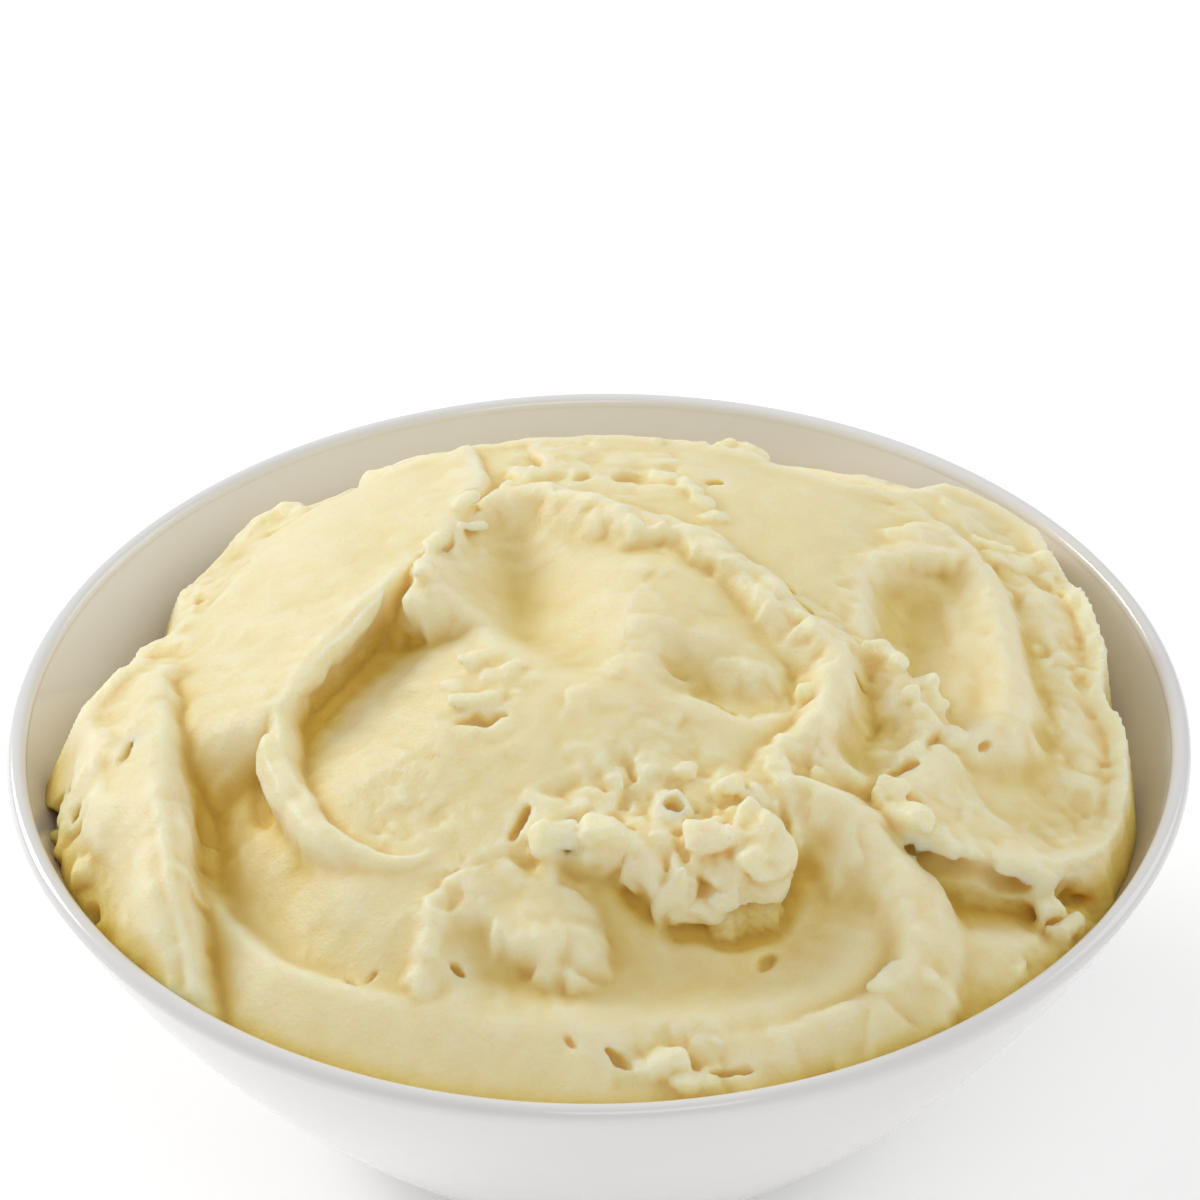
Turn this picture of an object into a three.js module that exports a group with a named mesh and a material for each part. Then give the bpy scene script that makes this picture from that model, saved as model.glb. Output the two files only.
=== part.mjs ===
// A round white porcelain serving bowl heaped with mashed potato.
// Millimetres, +Z up. The origin is the centre of the bowl's foot, on the surface that it stands on.

import * as THREE from "three";

// Bowl
const RIM_RADIUS = 100; // widest radius, at the lip
const BOWL_HEIGHT = 74;
const LIP_RADIUS = 1.7; // the lip's round edge is twice this thick
const WALL_LEAN = 0.45; // radius lost per mm of depth just under the lip
const OUTER_CURVE = 0.004; // further radius lost per mm of depth squared
const INNER_CURVE = 0.0044;
const FLOOR_HEIGHT = 7; // inside, at the centre
const FLOOR_BLEND = 6; // how softly the wall turns into the floor
const FOOT_RADIUS = 47;
const FOOT_HEIGHT = 5;
const FOOT_RING_WIDTH = 4;
const FOOT_RECESS = 3; // under the base, inside the foot ring
const FOOT_EDGE = 0.6; // bevel of the foot ring's edges

// Mash
const MOUND_TOP = 24; // over the rim
const MOUND_RADIUS = 92;
const MOUND_POWER = 3; // a larger power makes a flatter top
const MOUND_POWER_SWING = 0.8; // more at the back, less at the front
// How far under the rim the mash meets the wall, by direction in degrees: 0 is +X and 90 is +Y.
const EDGE_DROPS = [
  [0, 20], [8, 17], [20, 16], [35, 10], [85, 11], [120, 12.5], [150, 18], [165, 22], [176, 19],
  [186, 12], [205, 9], [222, 7], [233, 3], [262, 2.5], [318, 4], [343, 13], [353, 15],
];
// Steepest rise from the wall, by direction.
const BANK_SLOPES = [
  [0, 8], [12, 8], [25, 4], [45, 1.5], [80, 0.95], [105, 1], [126, 1.25], [145, 3.2], [158, 2.1],
  [166, 2.4], [175, 2.8], [190, 1.7], [210, 1.3], [222, 1.6], [235, 1.2], [270, 1.2], [325, 1.6],
  [345, 6],
];
const BANK_BLEND = 2;
const EDGE_PILE_RISE = 6; // how far the piles by the wall may stand over that bank
const SKIRT_SLOPE = 1.3; // fall of a pile's flank past its reach
const SKIRT_BLEND = 3;
const NEARNESS = 1; // how sharply the nearest stretch of a path wins over the others
const WALL_GAP = 0.35; // between mash and bowl
const FULL_TURN = 360; // degrees

// Facets
const SEGMENTS = 64;
const LIP_STEPS = 6;
const OUTER_STEPS = 9;
const INNER_STEPS = 16;
const TOP_RINGS = 27;
const PATH_STEP = 4; // spacing of the points along a smoothed path
const OUTER_SPACING = 1.3; // over 1 sets the outer wall's rings closer together low down
const DEEPEST_CONTACT = 0.6; // share of the inner profile under which the mash's edge never lies
const HALVINGS = 30; // steps of the search for that edge

// Each spoon stroke follows a path of [x, y, height over the rim]. A pile adds mash under its crest and a
// scoop takes it away over its bottom. round is the radius over which crest or bottom stays soft, left and
// right are the slopes of its two sides as seen along the path, blend is how softly it joins what is there,
// and past reach a flank falls away steeply.
const BODY_STROKES = [
  {
    name: "back shoulder",
    kind: "pile",
    path: [[-28, 57, 17], [-8, 52, 19], [12, 54, 18.5], [32, 51, 17.5], [45, 46, 15.5], [57, 38, 12]],
    round: 8, left: 0.5, right: 0.9, blend: 4,
  },
  {
    name: "left trough",
    kind: "scoop",
    path: [
      [-65, -15, 6.5], [-65, -24, 3], [-63.5, -34, 1], [-60, -46, 0], [-54, -57, 0], [-46, -66, 1],
      [-36, -72, 2.5], [-27, -77, 3.5],
    ],
    round: 4, left: 1.15, right: 1.6, blend: 2,
  },
  {
    name: "left slab",
    kind: "pile",
    path: [
      [-22, 52, 20], [-20, 36, 25], [-23, 24, 26.5], [-28, 12, 26.5], [-33, 4, 26], [-38, -2, 25],
      [-44, -9, 23.5], [-48, -14, 21.5], [-51, -20, 19],
    ],
    round: 2, left: 4, right: 0.5, blend: 1.2, reach: 38,
  },
  {
    name: "valley inside the slab",
    kind: "scoop",
    path: [
      [-22, 19, 24], [-27, 9, 18.5], [-32, 1, 15.5], [-37, -5, 14], [-42, -11, 12.5], [-46, -17, 11.5],
      [-49, -24, 11], [-50, -31, 11.5], [-47.5, -38, 13],
    ],
    round: 1.5, left: 0.42, right: 4, blend: 1.2,
  },
  {
    name: "swirl lip",
    kind: "pile",
    path: [
      [-51, -14, 20], [-54.5, -20, 18.5], [-54.5, -26, 17.5], [-53, -33, 16.5], [-50, -41, 15.5],
      [-46, -49, 15], [-41, -55, 14.5], [-34, -58, 14], [-28, -57, 14], [-23, -53, 14.5],
      [-19, -48, 15.5],
    ],
    round: 1, left: 1.7, right: 2.8, blend: 1, reach: 4,
  },
  {
    name: "torn edge of the central hump",
    kind: "pile",
    path: [
      [-13, 42, 22], [-17, 30, 26], [-21, 23, 27], [-25, 14, 27.5], [-30, 6, 27], [-30.5, -1, 25.5],
      [-28, -7, 24],
    ],
    round: 1.8, left: 0.1, right: 3, blend: 1.2, reach: 16,
  },
  {
    name: "central hump",
    kind: "pile",
    path: [[10, 2, 27.5], [6, -10, 27.5], [2, -22, 25.5]],
    round: 10, left: 0.5, right: 0.5, blend: 4,
  },
  {
    name: "front trough",
    kind: "scoop",
    path: [
      [-16, -76, 4], [-4, -76, 3], [8, -75, 2], [21, -72, 1.5], [31, -66, 2], [37, -57, 6],
      [37, -48, 11],
    ],
    round: 10, left: 0.95, right: 0.4, blend: 3,
  },
  {
    name: "edge of the apron",
    kind: "pile",
    path: [
      [-29, -73, 5.5], [-28, -69, 7.5], [-26.5, -64, 11], [-23, -59.5, 13.5], [-15, -57, 14.5],
      [-8, -57, 15],
    ],
    round: 1.2, left: 2.2, right: 0.34, blend: 1, reach: 12,
  },
  {
    name: "front of the hump",
    kind: "pile",
    path: [
      [-12, -53, 17], [-2, -56, 17.5], [8, -57, 17.5], [18, -58, 17], [26, -56, 17], [30, -47, 18],
      [29, -39, 19.5],
    ],
    round: 2, left: -0.12, right: 3, blend: 1.2, reach: 20,
  },
  {
    name: "ridge band and arc",
    kind: "pile",
    path: [
      [-10, 30, 27], [-3, 24, 28.5], [5, 20, 29], [15, 15, 28.5], [25, 4, 28], [33, -9, 26.5],
      [37, -18, 24.5], [37.5, -25, 23.5], [34, -32, 22.5], [27, -37, 21],
    ],
    round: 2.5, left: 1, right: 1.2, blend: 1.2, reach: 8,
  },
  {
    name: "hollow in the hump",
    kind: "scoop",
    path: [[-14, 20, 21], [-13, 10, 18], [-11, -3, 19], [-5, -15, 22.5]],
    round: 4.5, left: 0.75, right: 0.9, blend: 2.5,
  },
  {
    name: "hollow inside the arc",
    kind: "scoop",
    path: [[29, -11, 23], [31, -19, 20.5], [26, -24, 19.5], [17, -21, 20]],
    round: 3, left: 1, right: 0.9, blend: 1.5,
  },
  {
    name: "right hollow",
    kind: "scoop",
    path: [[54, 11, 10.5], [54, 4, 9.5], [53, -5, 10], [52, -12, 10.5], [49.5, -21, 12], [45, -33, 13]],
    round: 8, left: 0.42, right: 2.4, blend: 1.5,
  },
  {
    name: "edge over the right hollow",
    kind: "pile",
    path: [
      [42, -3, 19], [43, 6, 19], [44, 13, 18.5], [46, 18, 18.5], [50, 20, 18], [56, 21.5, 17.5],
      [61, 23, 16.5], [64, 28, 15],
    ],
    round: 1.3, left: 0, right: 3, blend: 1, reach: 8,
  },
  {
    name: "terrace beside the right fin",
    kind: "pile",
    path: [[70, 28, 9], [74, 15, 8.5], [76, 3, 6.5], [77, -9, 4.5], [78, -20, 2.5]],
    round: 6, left: 0.9, right: 0.3, blend: 3,
  },
  {
    name: "right fin",
    kind: "pile",
    path: [
      [55, 42, 13.5], [62, 31, 14], [66, 19, 14.5], [68, 7, 14], [68.5, -3, 13.5], [68, -12, 13],
      [65, -19, 12.5], [60, -24, 12.5], [55, -26, 13],
    ],
    round: 2, left: 1.7, right: 0.45, blend: 1.5, reach: 7,
  },
  {
    name: "flap over the right hollow",
    kind: "pile",
    path: [
      [43, -3, 19], [46, -8, 18.5], [50, -13, 18.5], [54.5, -14, 18], [55, -19, 17.5], [53, -25, 16.5],
      [50, -31, 15.5], [46, -38, 15],
    ],
    round: 1.3, left: 2.8, right: 0.25, blend: 1, reach: 7,
  },
  {
    name: "right trough",
    kind: "scoop",
    path: [
      [46, -58, 7], [51, -55, 3], [58, -53.5, -0.5], [66, -51.5, -3], [75, -47, -5.5], [83, -40, -7.5],
    ],
    round: 5, left: 1.6, right: 0.42, blend: 2,
  },
  {
    name: "sweep round the back",
    kind: "scoop",
    path: [[-50, 61, 4], [-34, 73, -1], [-12, 80, -4], [10, 80, -4], [31, 73, -2], [48, 62, 1]],
    round: 6, left: 0.5, right: 1.3, blend: 3,
  },
  {
    name: "fold at the back",
    kind: "pile",
    path: [[-30, 62, 12], [-17, 68, 9], [-2, 70, 8], [12, 67, 9.5], [22, 60, 13]],
    round: 3, left: 0.9, right: 0.1, blend: 2, reach: 8,
  },
];

const EDGE_STROKES = [
  {
    name: "left fin",
    kind: "pile",
    path: [
      [-71, 5, 8], [-73, -1, 11], [-72.5, -10, 12.5], [-72, -21, 13], [-71, -37, 12], [-70, -50, 10],
      [-68, -60, 7], [-66, -66, 3.5], [-63, -71, -2],
    ],
    round: 2, left: 1.7, right: 0.6, blend: 1.6,
  },
  {
    name: "far lump by the wall",
    kind: "pile",
    path: [[66, 38, 8], [73, 32, 7], [80, 26, 5.5], [84, 18, 3.5]],
    round: 3, left: 0.6, right: 2, blend: 1.5,
  },
  {
    name: "near lump by the wall",
    kind: "pile",
    path: [[85, 14, 3], [85.5, 7, 2], [83, 0, 1]],
    round: 2.5, left: 0.8, right: 2, blend: 1.5,
  },
  {
    name: "right lobe",
    kind: "pile",
    path: [
      [45, -42, 15.5], [48, -45.5, 14.5], [54, -47.5, 12.5], [62, -47.5, 9.5], [70, -45.5, 5.5],
      [77, -39, 1.5], [83, -29, -1], [87.5, -18, -1.5], [89, -8, -1],
    ],
    round: 1.8, left: -0.1, right: 3.6, blend: 1.2, reach: 17,
  },
  {
    name: "lower right curl",
    kind: "pile",
    path: [[78.5, -47, -5], [76, -51, -4], [72, -55, -3.5], [67, -62, -4], [60, -71, -5]],
    round: 2, left: 0.9, right: 0.9, blend: 1.5,
  },
  {
    name: "front ridge",
    kind: "pile",
    path: [
      [27, -43, 19], [32, -43.5, 19.5], [38, -45, 18], [43, -50, 15.5], [46.5, -55, 12.5],
      [48.5, -61, 9], [48.5, -67, 6], [46.5, -72, 4.5], [42, -76.5, 3], [35, -80, 2], [28, -82, 1.5],
      [20, -84, 0.5],
    ],
    round: 1.6, left: 0.9, right: 1, blend: 1.2, reach: 7,
  },
];

const PORCELAIN = { color: 0xf3f1ee, roughness: 0.15, metalness: 0 };
const MASH = { color: 0xf1e6b9, roughness: 0.5, metalness: 0 };

// The larger of a and b, rounded off where they are within blend of each other.
function smoothMax(a, b, blend) {
  const share = THREE.MathUtils.clamp(0.5 + (0.5 * (a - b)) / blend, 0, 1);
  return b + (a - b) * share + blend * share * (1 - share);
}

function smoothMin(a, b, blend) {
  return -smoothMax(-a, -b, blend);
}

// How far under the lip's middle a wall has drawn in from its widest radius to this one.
function wallDepth(widest, curve, radius) {
  const drawnIn = widest - radius;
  return (Math.sqrt(WALL_LEAN * WALL_LEAN + 4 * curve * drawnIn) - WALL_LEAN) / (2 * curve);
}

function innerHeight(radius) {
  const widest = RIM_RADIUS - 2 * LIP_RADIUS;
  const wall = BOWL_HEIGHT - LIP_RADIUS - wallDepth(widest, INNER_CURVE, Math.min(radius, widest));
  return smoothMax(wall, FLOOR_HEIGHT, FLOOR_BLEND);
}

function outerRadius(height) {
  const depth = BOWL_HEIGHT - LIP_RADIUS - height;
  return RIM_RADIUS - WALL_LEAN * depth - OUTER_CURVE * depth * depth;
}

// A point of the inner profile: share 0 is the widest radius and 1 is the centre of the floor. The square
// root sets the points evenly along the curve.
function innerPoint(share) {
  const radius = (RIM_RADIUS - 2 * LIP_RADIUS) * Math.sqrt(1 - share * share);
  return new THREE.Vector2(radius, innerHeight(radius));
}

function footProfile() {
  const inside = FOOT_RADIUS - FOOT_RING_WIDTH;
  return [
    new THREE.Vector2(0, FOOT_RECESS),
    new THREE.Vector2(inside - FOOT_RECESS, FOOT_RECESS),
    new THREE.Vector2(inside, FOOT_EDGE),
    new THREE.Vector2(inside + FOOT_EDGE, 0),
    new THREE.Vector2(FOOT_RADIUS - FOOT_EDGE, 0),
    new THREE.Vector2(FOOT_RADIUS, FOOT_EDGE),
    new THREE.Vector2(FOOT_RADIUS + FOOT_EDGE, FOOT_HEIGHT - FOOT_EDGE),
  ];
}

function outerProfile() {
  const points = [];
  const top = BOWL_HEIGHT - LIP_RADIUS;
  for (let i = 0; i < OUTER_STEPS; i++) {
    const share = (i / OUTER_STEPS) ** OUTER_SPACING;
    const height = FOOT_HEIGHT + (top - FOOT_HEIGHT) * share;
    points.push(new THREE.Vector2(outerRadius(height), height));
  }
  return points;
}

function lipProfile() {
  const points = [];
  for (let i = 0; i < LIP_STEPS; i++) {
    const turn = (Math.PI * i) / LIP_STEPS;
    const radius = RIM_RADIUS - LIP_RADIUS + LIP_RADIUS * Math.cos(turn);
    points.push(new THREE.Vector2(radius, BOWL_HEIGHT - LIP_RADIUS + LIP_RADIUS * Math.sin(turn)));
  }
  return points;
}

function innerProfile() {
  const points = [];
  for (let i = 0; i <= INNER_STEPS; i++) {
    points.push(innerPoint(i / INNER_STEPS));
  }
  return points;
}

function makeBowl() {
  const profile = [...footProfile(), ...outerProfile(), ...lipProfile(), ...innerProfile()];
  const geometry = new THREE.LatheGeometry(profile, SEGMENTS);
  geometry.rotateX(Math.PI / 2);
  const mesh = new THREE.Mesh(geometry, new THREE.MeshStandardMaterial(PORCELAIN));
  mesh.name = "bowl";
  return mesh;
}

function betweenStations(start, end, turn) {
  return THREE.MathUtils.lerp(start[1], end[1], THREE.MathUtils.smoothstep(turn, start[0], end[0]));
}

// Reads [degrees, value] stations smoothly, all the way round.
function byDirection(stations, direction) {
  const turn = THREE.MathUtils.euclideanModulo(THREE.MathUtils.radToDeg(direction), FULL_TURN);
  const last = stations.length - 1;
  let start = [stations[last][0] - FULL_TURN, stations[last][1]];
  for (const station of stations) {
    if (turn < station[0]) {
      return betweenStations(start, station, turn);
    }
    start = station;
  }
  return betweenStations(start, [stations[0][0] + FULL_TURN, stations[0][1]], turn);
}

// The bowl's inside radius at this depth under the rim.
function wallRadius(drop) {
  const depth = drop - LIP_RADIUS;
  return RIM_RADIUS - 2 * LIP_RADIUS - WALL_LEAN * depth - INNER_CURVE * depth * depth;
}

function moundHeight(x, y) {
  const share = Math.hypot(x, y) / MOUND_RADIUS;
  const direction = Math.atan2(y, x);
  const power = MOUND_POWER + MOUND_POWER_SWING * Math.sin(direction) * Math.min(2 * share, 1);
  return MOUND_TOP - (MOUND_TOP + byDirection(EDGE_DROPS, direction)) * share ** power;
}

// The highest that the mash stands near the wall.
function bankHeight(x, y) {
  const direction = Math.atan2(y, x);
  const drop = byDirection(EDGE_DROPS, direction);
  return byDirection(BANK_SLOPES, direction) * (wallRadius(drop) - Math.hypot(x, y)) - drop;
}

function smoothPath(path) {
  const points = path.map((point) => new THREE.Vector3(...point));
  const curve = new THREE.CatmullRomCurve3(points, false, "catmullrom");
  return curve.getSpacedPoints(Math.ceil(curve.getLength() / PATH_STEP));
}

// A segment's distance seen from above, its height there, and side, which is 1 on its left and -1 on its
// right.
function offSegment(start, end, x, y) {
  const dx = end.x - start.x;
  const dy = end.y - start.y;
  const length = Math.hypot(dx, dy);
  const share = THREE.MathUtils.clamp(((x - start.x) * dx + (y - start.y) * dy) / length ** 2, 0, 1);
  const offX = x - start.x - share * dx;
  const offY = y - start.y - share * dy;
  const distance = Math.hypot(offX, offY);
  const side = distance > 0 ? (dx * offY - dy * offX) / (length * distance) : 0;
  return { distance, side, height: THREE.MathUtils.lerp(start.z, end.z, share) };
}

// The same for a whole path. Where two stretches are about as near, it runs smoothly from one to the other.
function nearestOnPath(points, x, y) {
  const stretches = points.slice(1).map((end, i) => offSegment(points[i], end, x, y));
  const distance = Math.min(...stretches.map((stretch) => stretch.distance));
  let total = 0;
  let side = 0;
  let height = 0;
  for (const stretch of stretches) {
    const weight = Math.exp((distance - stretch.distance) / NEARNESS);
    total += weight;
    side += weight * stretch.side;
    height += weight * stretch.height;
  }
  return { distance, side: side / total, height: height / total };
}

// How far a stroke's side has moved from its crest or bottom at this distance.
function flank(stroke, distance, side) {
  const slope = THREE.MathUtils.lerp(stroke.right, stroke.left, 0.5 + 0.5 * side);
  const past = Math.max(distance - (stroke.reach ?? Infinity), 0);
  const skirt = (SKIRT_SLOPE * past * past) / (past + SKIRT_BLEND);
  return slope * (Math.hypot(distance, stroke.round) - stroke.round) + skirt;
}

function withStroke(height, stroke, x, y) {
  const { distance, side, height: crest } = nearestOnPath(stroke.points, x, y);
  const away = flank(stroke, distance, side);
  if (stroke.kind === "pile") {
    return smoothMax(height, crest - away, stroke.blend);
  }
  return smoothMin(height, crest + away, stroke.blend);
}

function withPoints(stroke) {
  return { ...stroke, points: smoothPath(stroke.path) };
}

const bodyStrokes = BODY_STROKES.map(withPoints);
const edgeStrokes = EDGE_STROKES.map(withPoints);

// The mash's top surface over the foot's plane.
function mashHeight(x, y) {
  let height = moundHeight(x, y);
  for (const stroke of bodyStrokes) {
    height = withStroke(height, stroke, x, y);
  }
  const bank = bankHeight(x, y);
  height = smoothMin(height, bank, BANK_BLEND);
  for (const stroke of edgeStrokes) {
    height = withStroke(height, stroke, x, y);
  }
  return BOWL_HEIGHT + smoothMin(height, bank + EDGE_PILE_RISE, BANK_BLEND);
}

// A point of the inner profile moved off the wall by the gap.
function underPoint(share) {
  const step = 0.001;
  const here = innerPoint(share);
  const along = innerPoint(Math.min(share + step, 1)).sub(innerPoint(Math.max(share - step, 0))).normalize();
  const radius = Math.max(here.x + WALL_GAP * along.y, 0);
  return new THREE.Vector2(share < 1 ? radius : 0, here.y - WALL_GAP * along.x);
}

// The share of the inner profile at which the mash's top meets the wall in this direction.
function contactShare(cosine, sine) {
  let low = 0;
  let high = DEEPEST_CONTACT;
  for (let i = 0; i < HALVINGS; i++) {
    const middle = (low + high) / 2;
    const point = underPoint(middle);
    if (mashHeight(point.x * cosine, point.x * sine) < point.y) {
      low = middle;
    } else {
      high = middle;
    }
  }
  return low;
}

function ringOfPoints(positions, pointAt) {
  for (let k = 0; k < SEGMENTS; k++) {
    const turn = (2 * Math.PI * k) / SEGMENTS;
    const point = pointAt(k, Math.cos(turn), Math.sin(turn));
    positions.push(point.x * Math.cos(turn), point.x * Math.sin(turn), point.y);
  }
}

// Two triangles for each facet between neighbouring rings, with a fan at each end.
function ringFacets(rings) {
  const facets = [];
  const last = 1 + rings * SEGMENTS;
  for (let k = 0; k < SEGMENTS; k++) {
    const next = (k + 1) % SEGMENTS;
    facets.push(0, 1 + k, 1 + next);
    for (let ring = 1; ring < rings; ring++) {
      const inner = 1 + (ring - 1) * SEGMENTS;
      const outer = inner + SEGMENTS;
      facets.push(inner + k, outer + k, outer + next);
      facets.push(inner + k, outer + next, inner + next);
    }
    const edge = last - SEGMENTS;
    facets.push(edge + k, last, edge + next);
  }
  return facets;
}

function makeMash() {
  const contact = [];
  for (let k = 0; k < SEGMENTS; k++) {
    const turn = (2 * Math.PI * k) / SEGMENTS;
    contact.push(contactShare(Math.cos(turn), Math.sin(turn)));
  }
  const positions = [0, 0, mashHeight(0, 0)];
  for (let ring = 1; ring < TOP_RINGS; ring++) {
    ringOfPoints(positions, (k, cosine, sine) => {
      const radius = (underPoint(contact[k]).x * ring) / TOP_RINGS;
      return new THREE.Vector2(radius, mashHeight(radius * cosine, radius * sine));
    });
  }
  ringOfPoints(positions, (k) => underPoint(contact[k]));
  // Under the top, the rings are level with the bowl's own, so that the gap stays the same all the way down.
  const firstStep = Math.floor(Math.max(...contact) * INNER_STEPS) + 1;
  for (let step = firstStep; step < INNER_STEPS; step++) {
    ringOfPoints(positions, () => underPoint(step / INNER_STEPS));
  }
  positions.push(0, 0, underPoint(1).y);
  const geometry = new THREE.BufferGeometry();
  geometry.setAttribute("position", new THREE.Float32BufferAttribute(positions, 3));
  geometry.setIndex(ringFacets(TOP_RINGS + INNER_STEPS - firstStep));
  geometry.computeVertexNormals();
  const mesh = new THREE.Mesh(geometry, new THREE.MeshStandardMaterial(MASH));
  mesh.name = "mash";
  return mesh;
}

const mashedPotatoSide = new THREE.Group();
mashedPotatoSide.add(makeBowl(), makeMash());

export default mashedPotatoSide;
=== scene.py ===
import itertools
import math

import bmesh
import bpy
import numpy as np
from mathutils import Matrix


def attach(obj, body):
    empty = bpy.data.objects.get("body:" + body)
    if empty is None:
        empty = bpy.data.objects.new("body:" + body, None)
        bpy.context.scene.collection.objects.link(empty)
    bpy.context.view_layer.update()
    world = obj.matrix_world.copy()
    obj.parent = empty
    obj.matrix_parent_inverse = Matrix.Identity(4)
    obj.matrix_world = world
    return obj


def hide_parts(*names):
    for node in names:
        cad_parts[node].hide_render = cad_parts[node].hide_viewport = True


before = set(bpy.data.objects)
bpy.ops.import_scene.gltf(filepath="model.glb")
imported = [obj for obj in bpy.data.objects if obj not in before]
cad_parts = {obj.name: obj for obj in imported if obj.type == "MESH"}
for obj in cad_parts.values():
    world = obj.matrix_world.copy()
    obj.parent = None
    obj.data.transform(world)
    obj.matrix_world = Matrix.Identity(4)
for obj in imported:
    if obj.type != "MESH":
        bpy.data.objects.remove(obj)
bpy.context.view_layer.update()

import openvdb
from mathutils import Matrix, Vector

MM = 0.001  # the shapes below are worked out in millimetres and made in metres

# Bowl, as in the frame
RIM_RADIUS = 100.0
BOWL_HEIGHT = 74.0
LIP_RADIUS = 1.7
INNER_RIM = RIM_RADIUS - 2 * LIP_RADIUS
WALL_LEAN = 0.45
OUTER_CURVE = 0.004
INNER_CURVE = 0.0044
FLOOR_HEIGHT = 7.0
FLOOR_BLEND = 6.0
FOOT_RADIUS = 47.0
FOOT_HEIGHT = 5.0
FOOT_RING_WIDTH = 4.0
FOOT_RECESS = 3.0
FOOT_EDGE = 0.6
RECESS_BEND = 2
RECESS_DIP = 0.2
RING_BEVEL = 0.3
RING_BEVEL_HEIGHT = 0.4
FOOT_WAIST = 1.5
FOOT_FLARE = 0.8
SEGMENTS = 288
OUTER_STEPS = 40
OUTER_STEP_POWER = 1.3  # brings the steps closer together near the foot
LIP_STEPS = 16
INNER_STEPS = 56

# Mash, main form: heights are over the rim's plane
MOUND_TOP = 24.0
MOUND_RADIUS = 92.0
MOUND_POWER = 3.0
MOUND_POWER_SWING = 0.8
# How far under the rim the mash meets the wall, by direction in degrees: 0 is +X and 90 is +Y.
EDGE_DROPS = [
    [0, 20], [8, 17], [20, 16], [35, 10], [85, 11], [120, 12.5], [148, 18], [160, 23], [175, 23],
    [185, 13], [205, 9], [222, 7], [233, 3], [262, 2.5], [318, 4], [343, 13], [353, 15],
]
# Steepest rise from the wall, by direction.
BANK_SLOPES = [
    [0, 8], [12, 8], [25, 4], [45, 1.5], [80, 0.95], [105, 1], [126, 1.25], [145, 3.2],
    [158, 2.6], [166, 3.2], [175, 3.4], [190, 1.7], [210, 1.3], [222, 1.6], [235, 1.2], [270, 1.2],
    [325, 1.6], [345, 6],
]
BANK_BLEND = 2.0
EDGE_PILE_RISE = 6.0
SKIRT_SLOPE = 1.3
SKIRT_BLEND = 3.0
PATH_STEP = 4.0
NEARNESS = 1.0  # how softly the nearest stretch of a path gives way to the others
ENDLESS = 1e9

# Each spoon stroke follows a path of [x, y, height]. A pile adds mash under its crest and a scoop takes it
# away over its bottom. round is the radius there, left and right are the slopes of its sides as seen along
# the path, blend is how softly it meets what is there, and ragged is how far its edge wanders. Past its
# reach, where it has one, a pile falls away more steeply.
def pile(path, **shape):
    return dict(kind="pile", path=path, **shape)


def scoop(path, **shape):
    return dict(kind="scoop", path=path, **shape)


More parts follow.
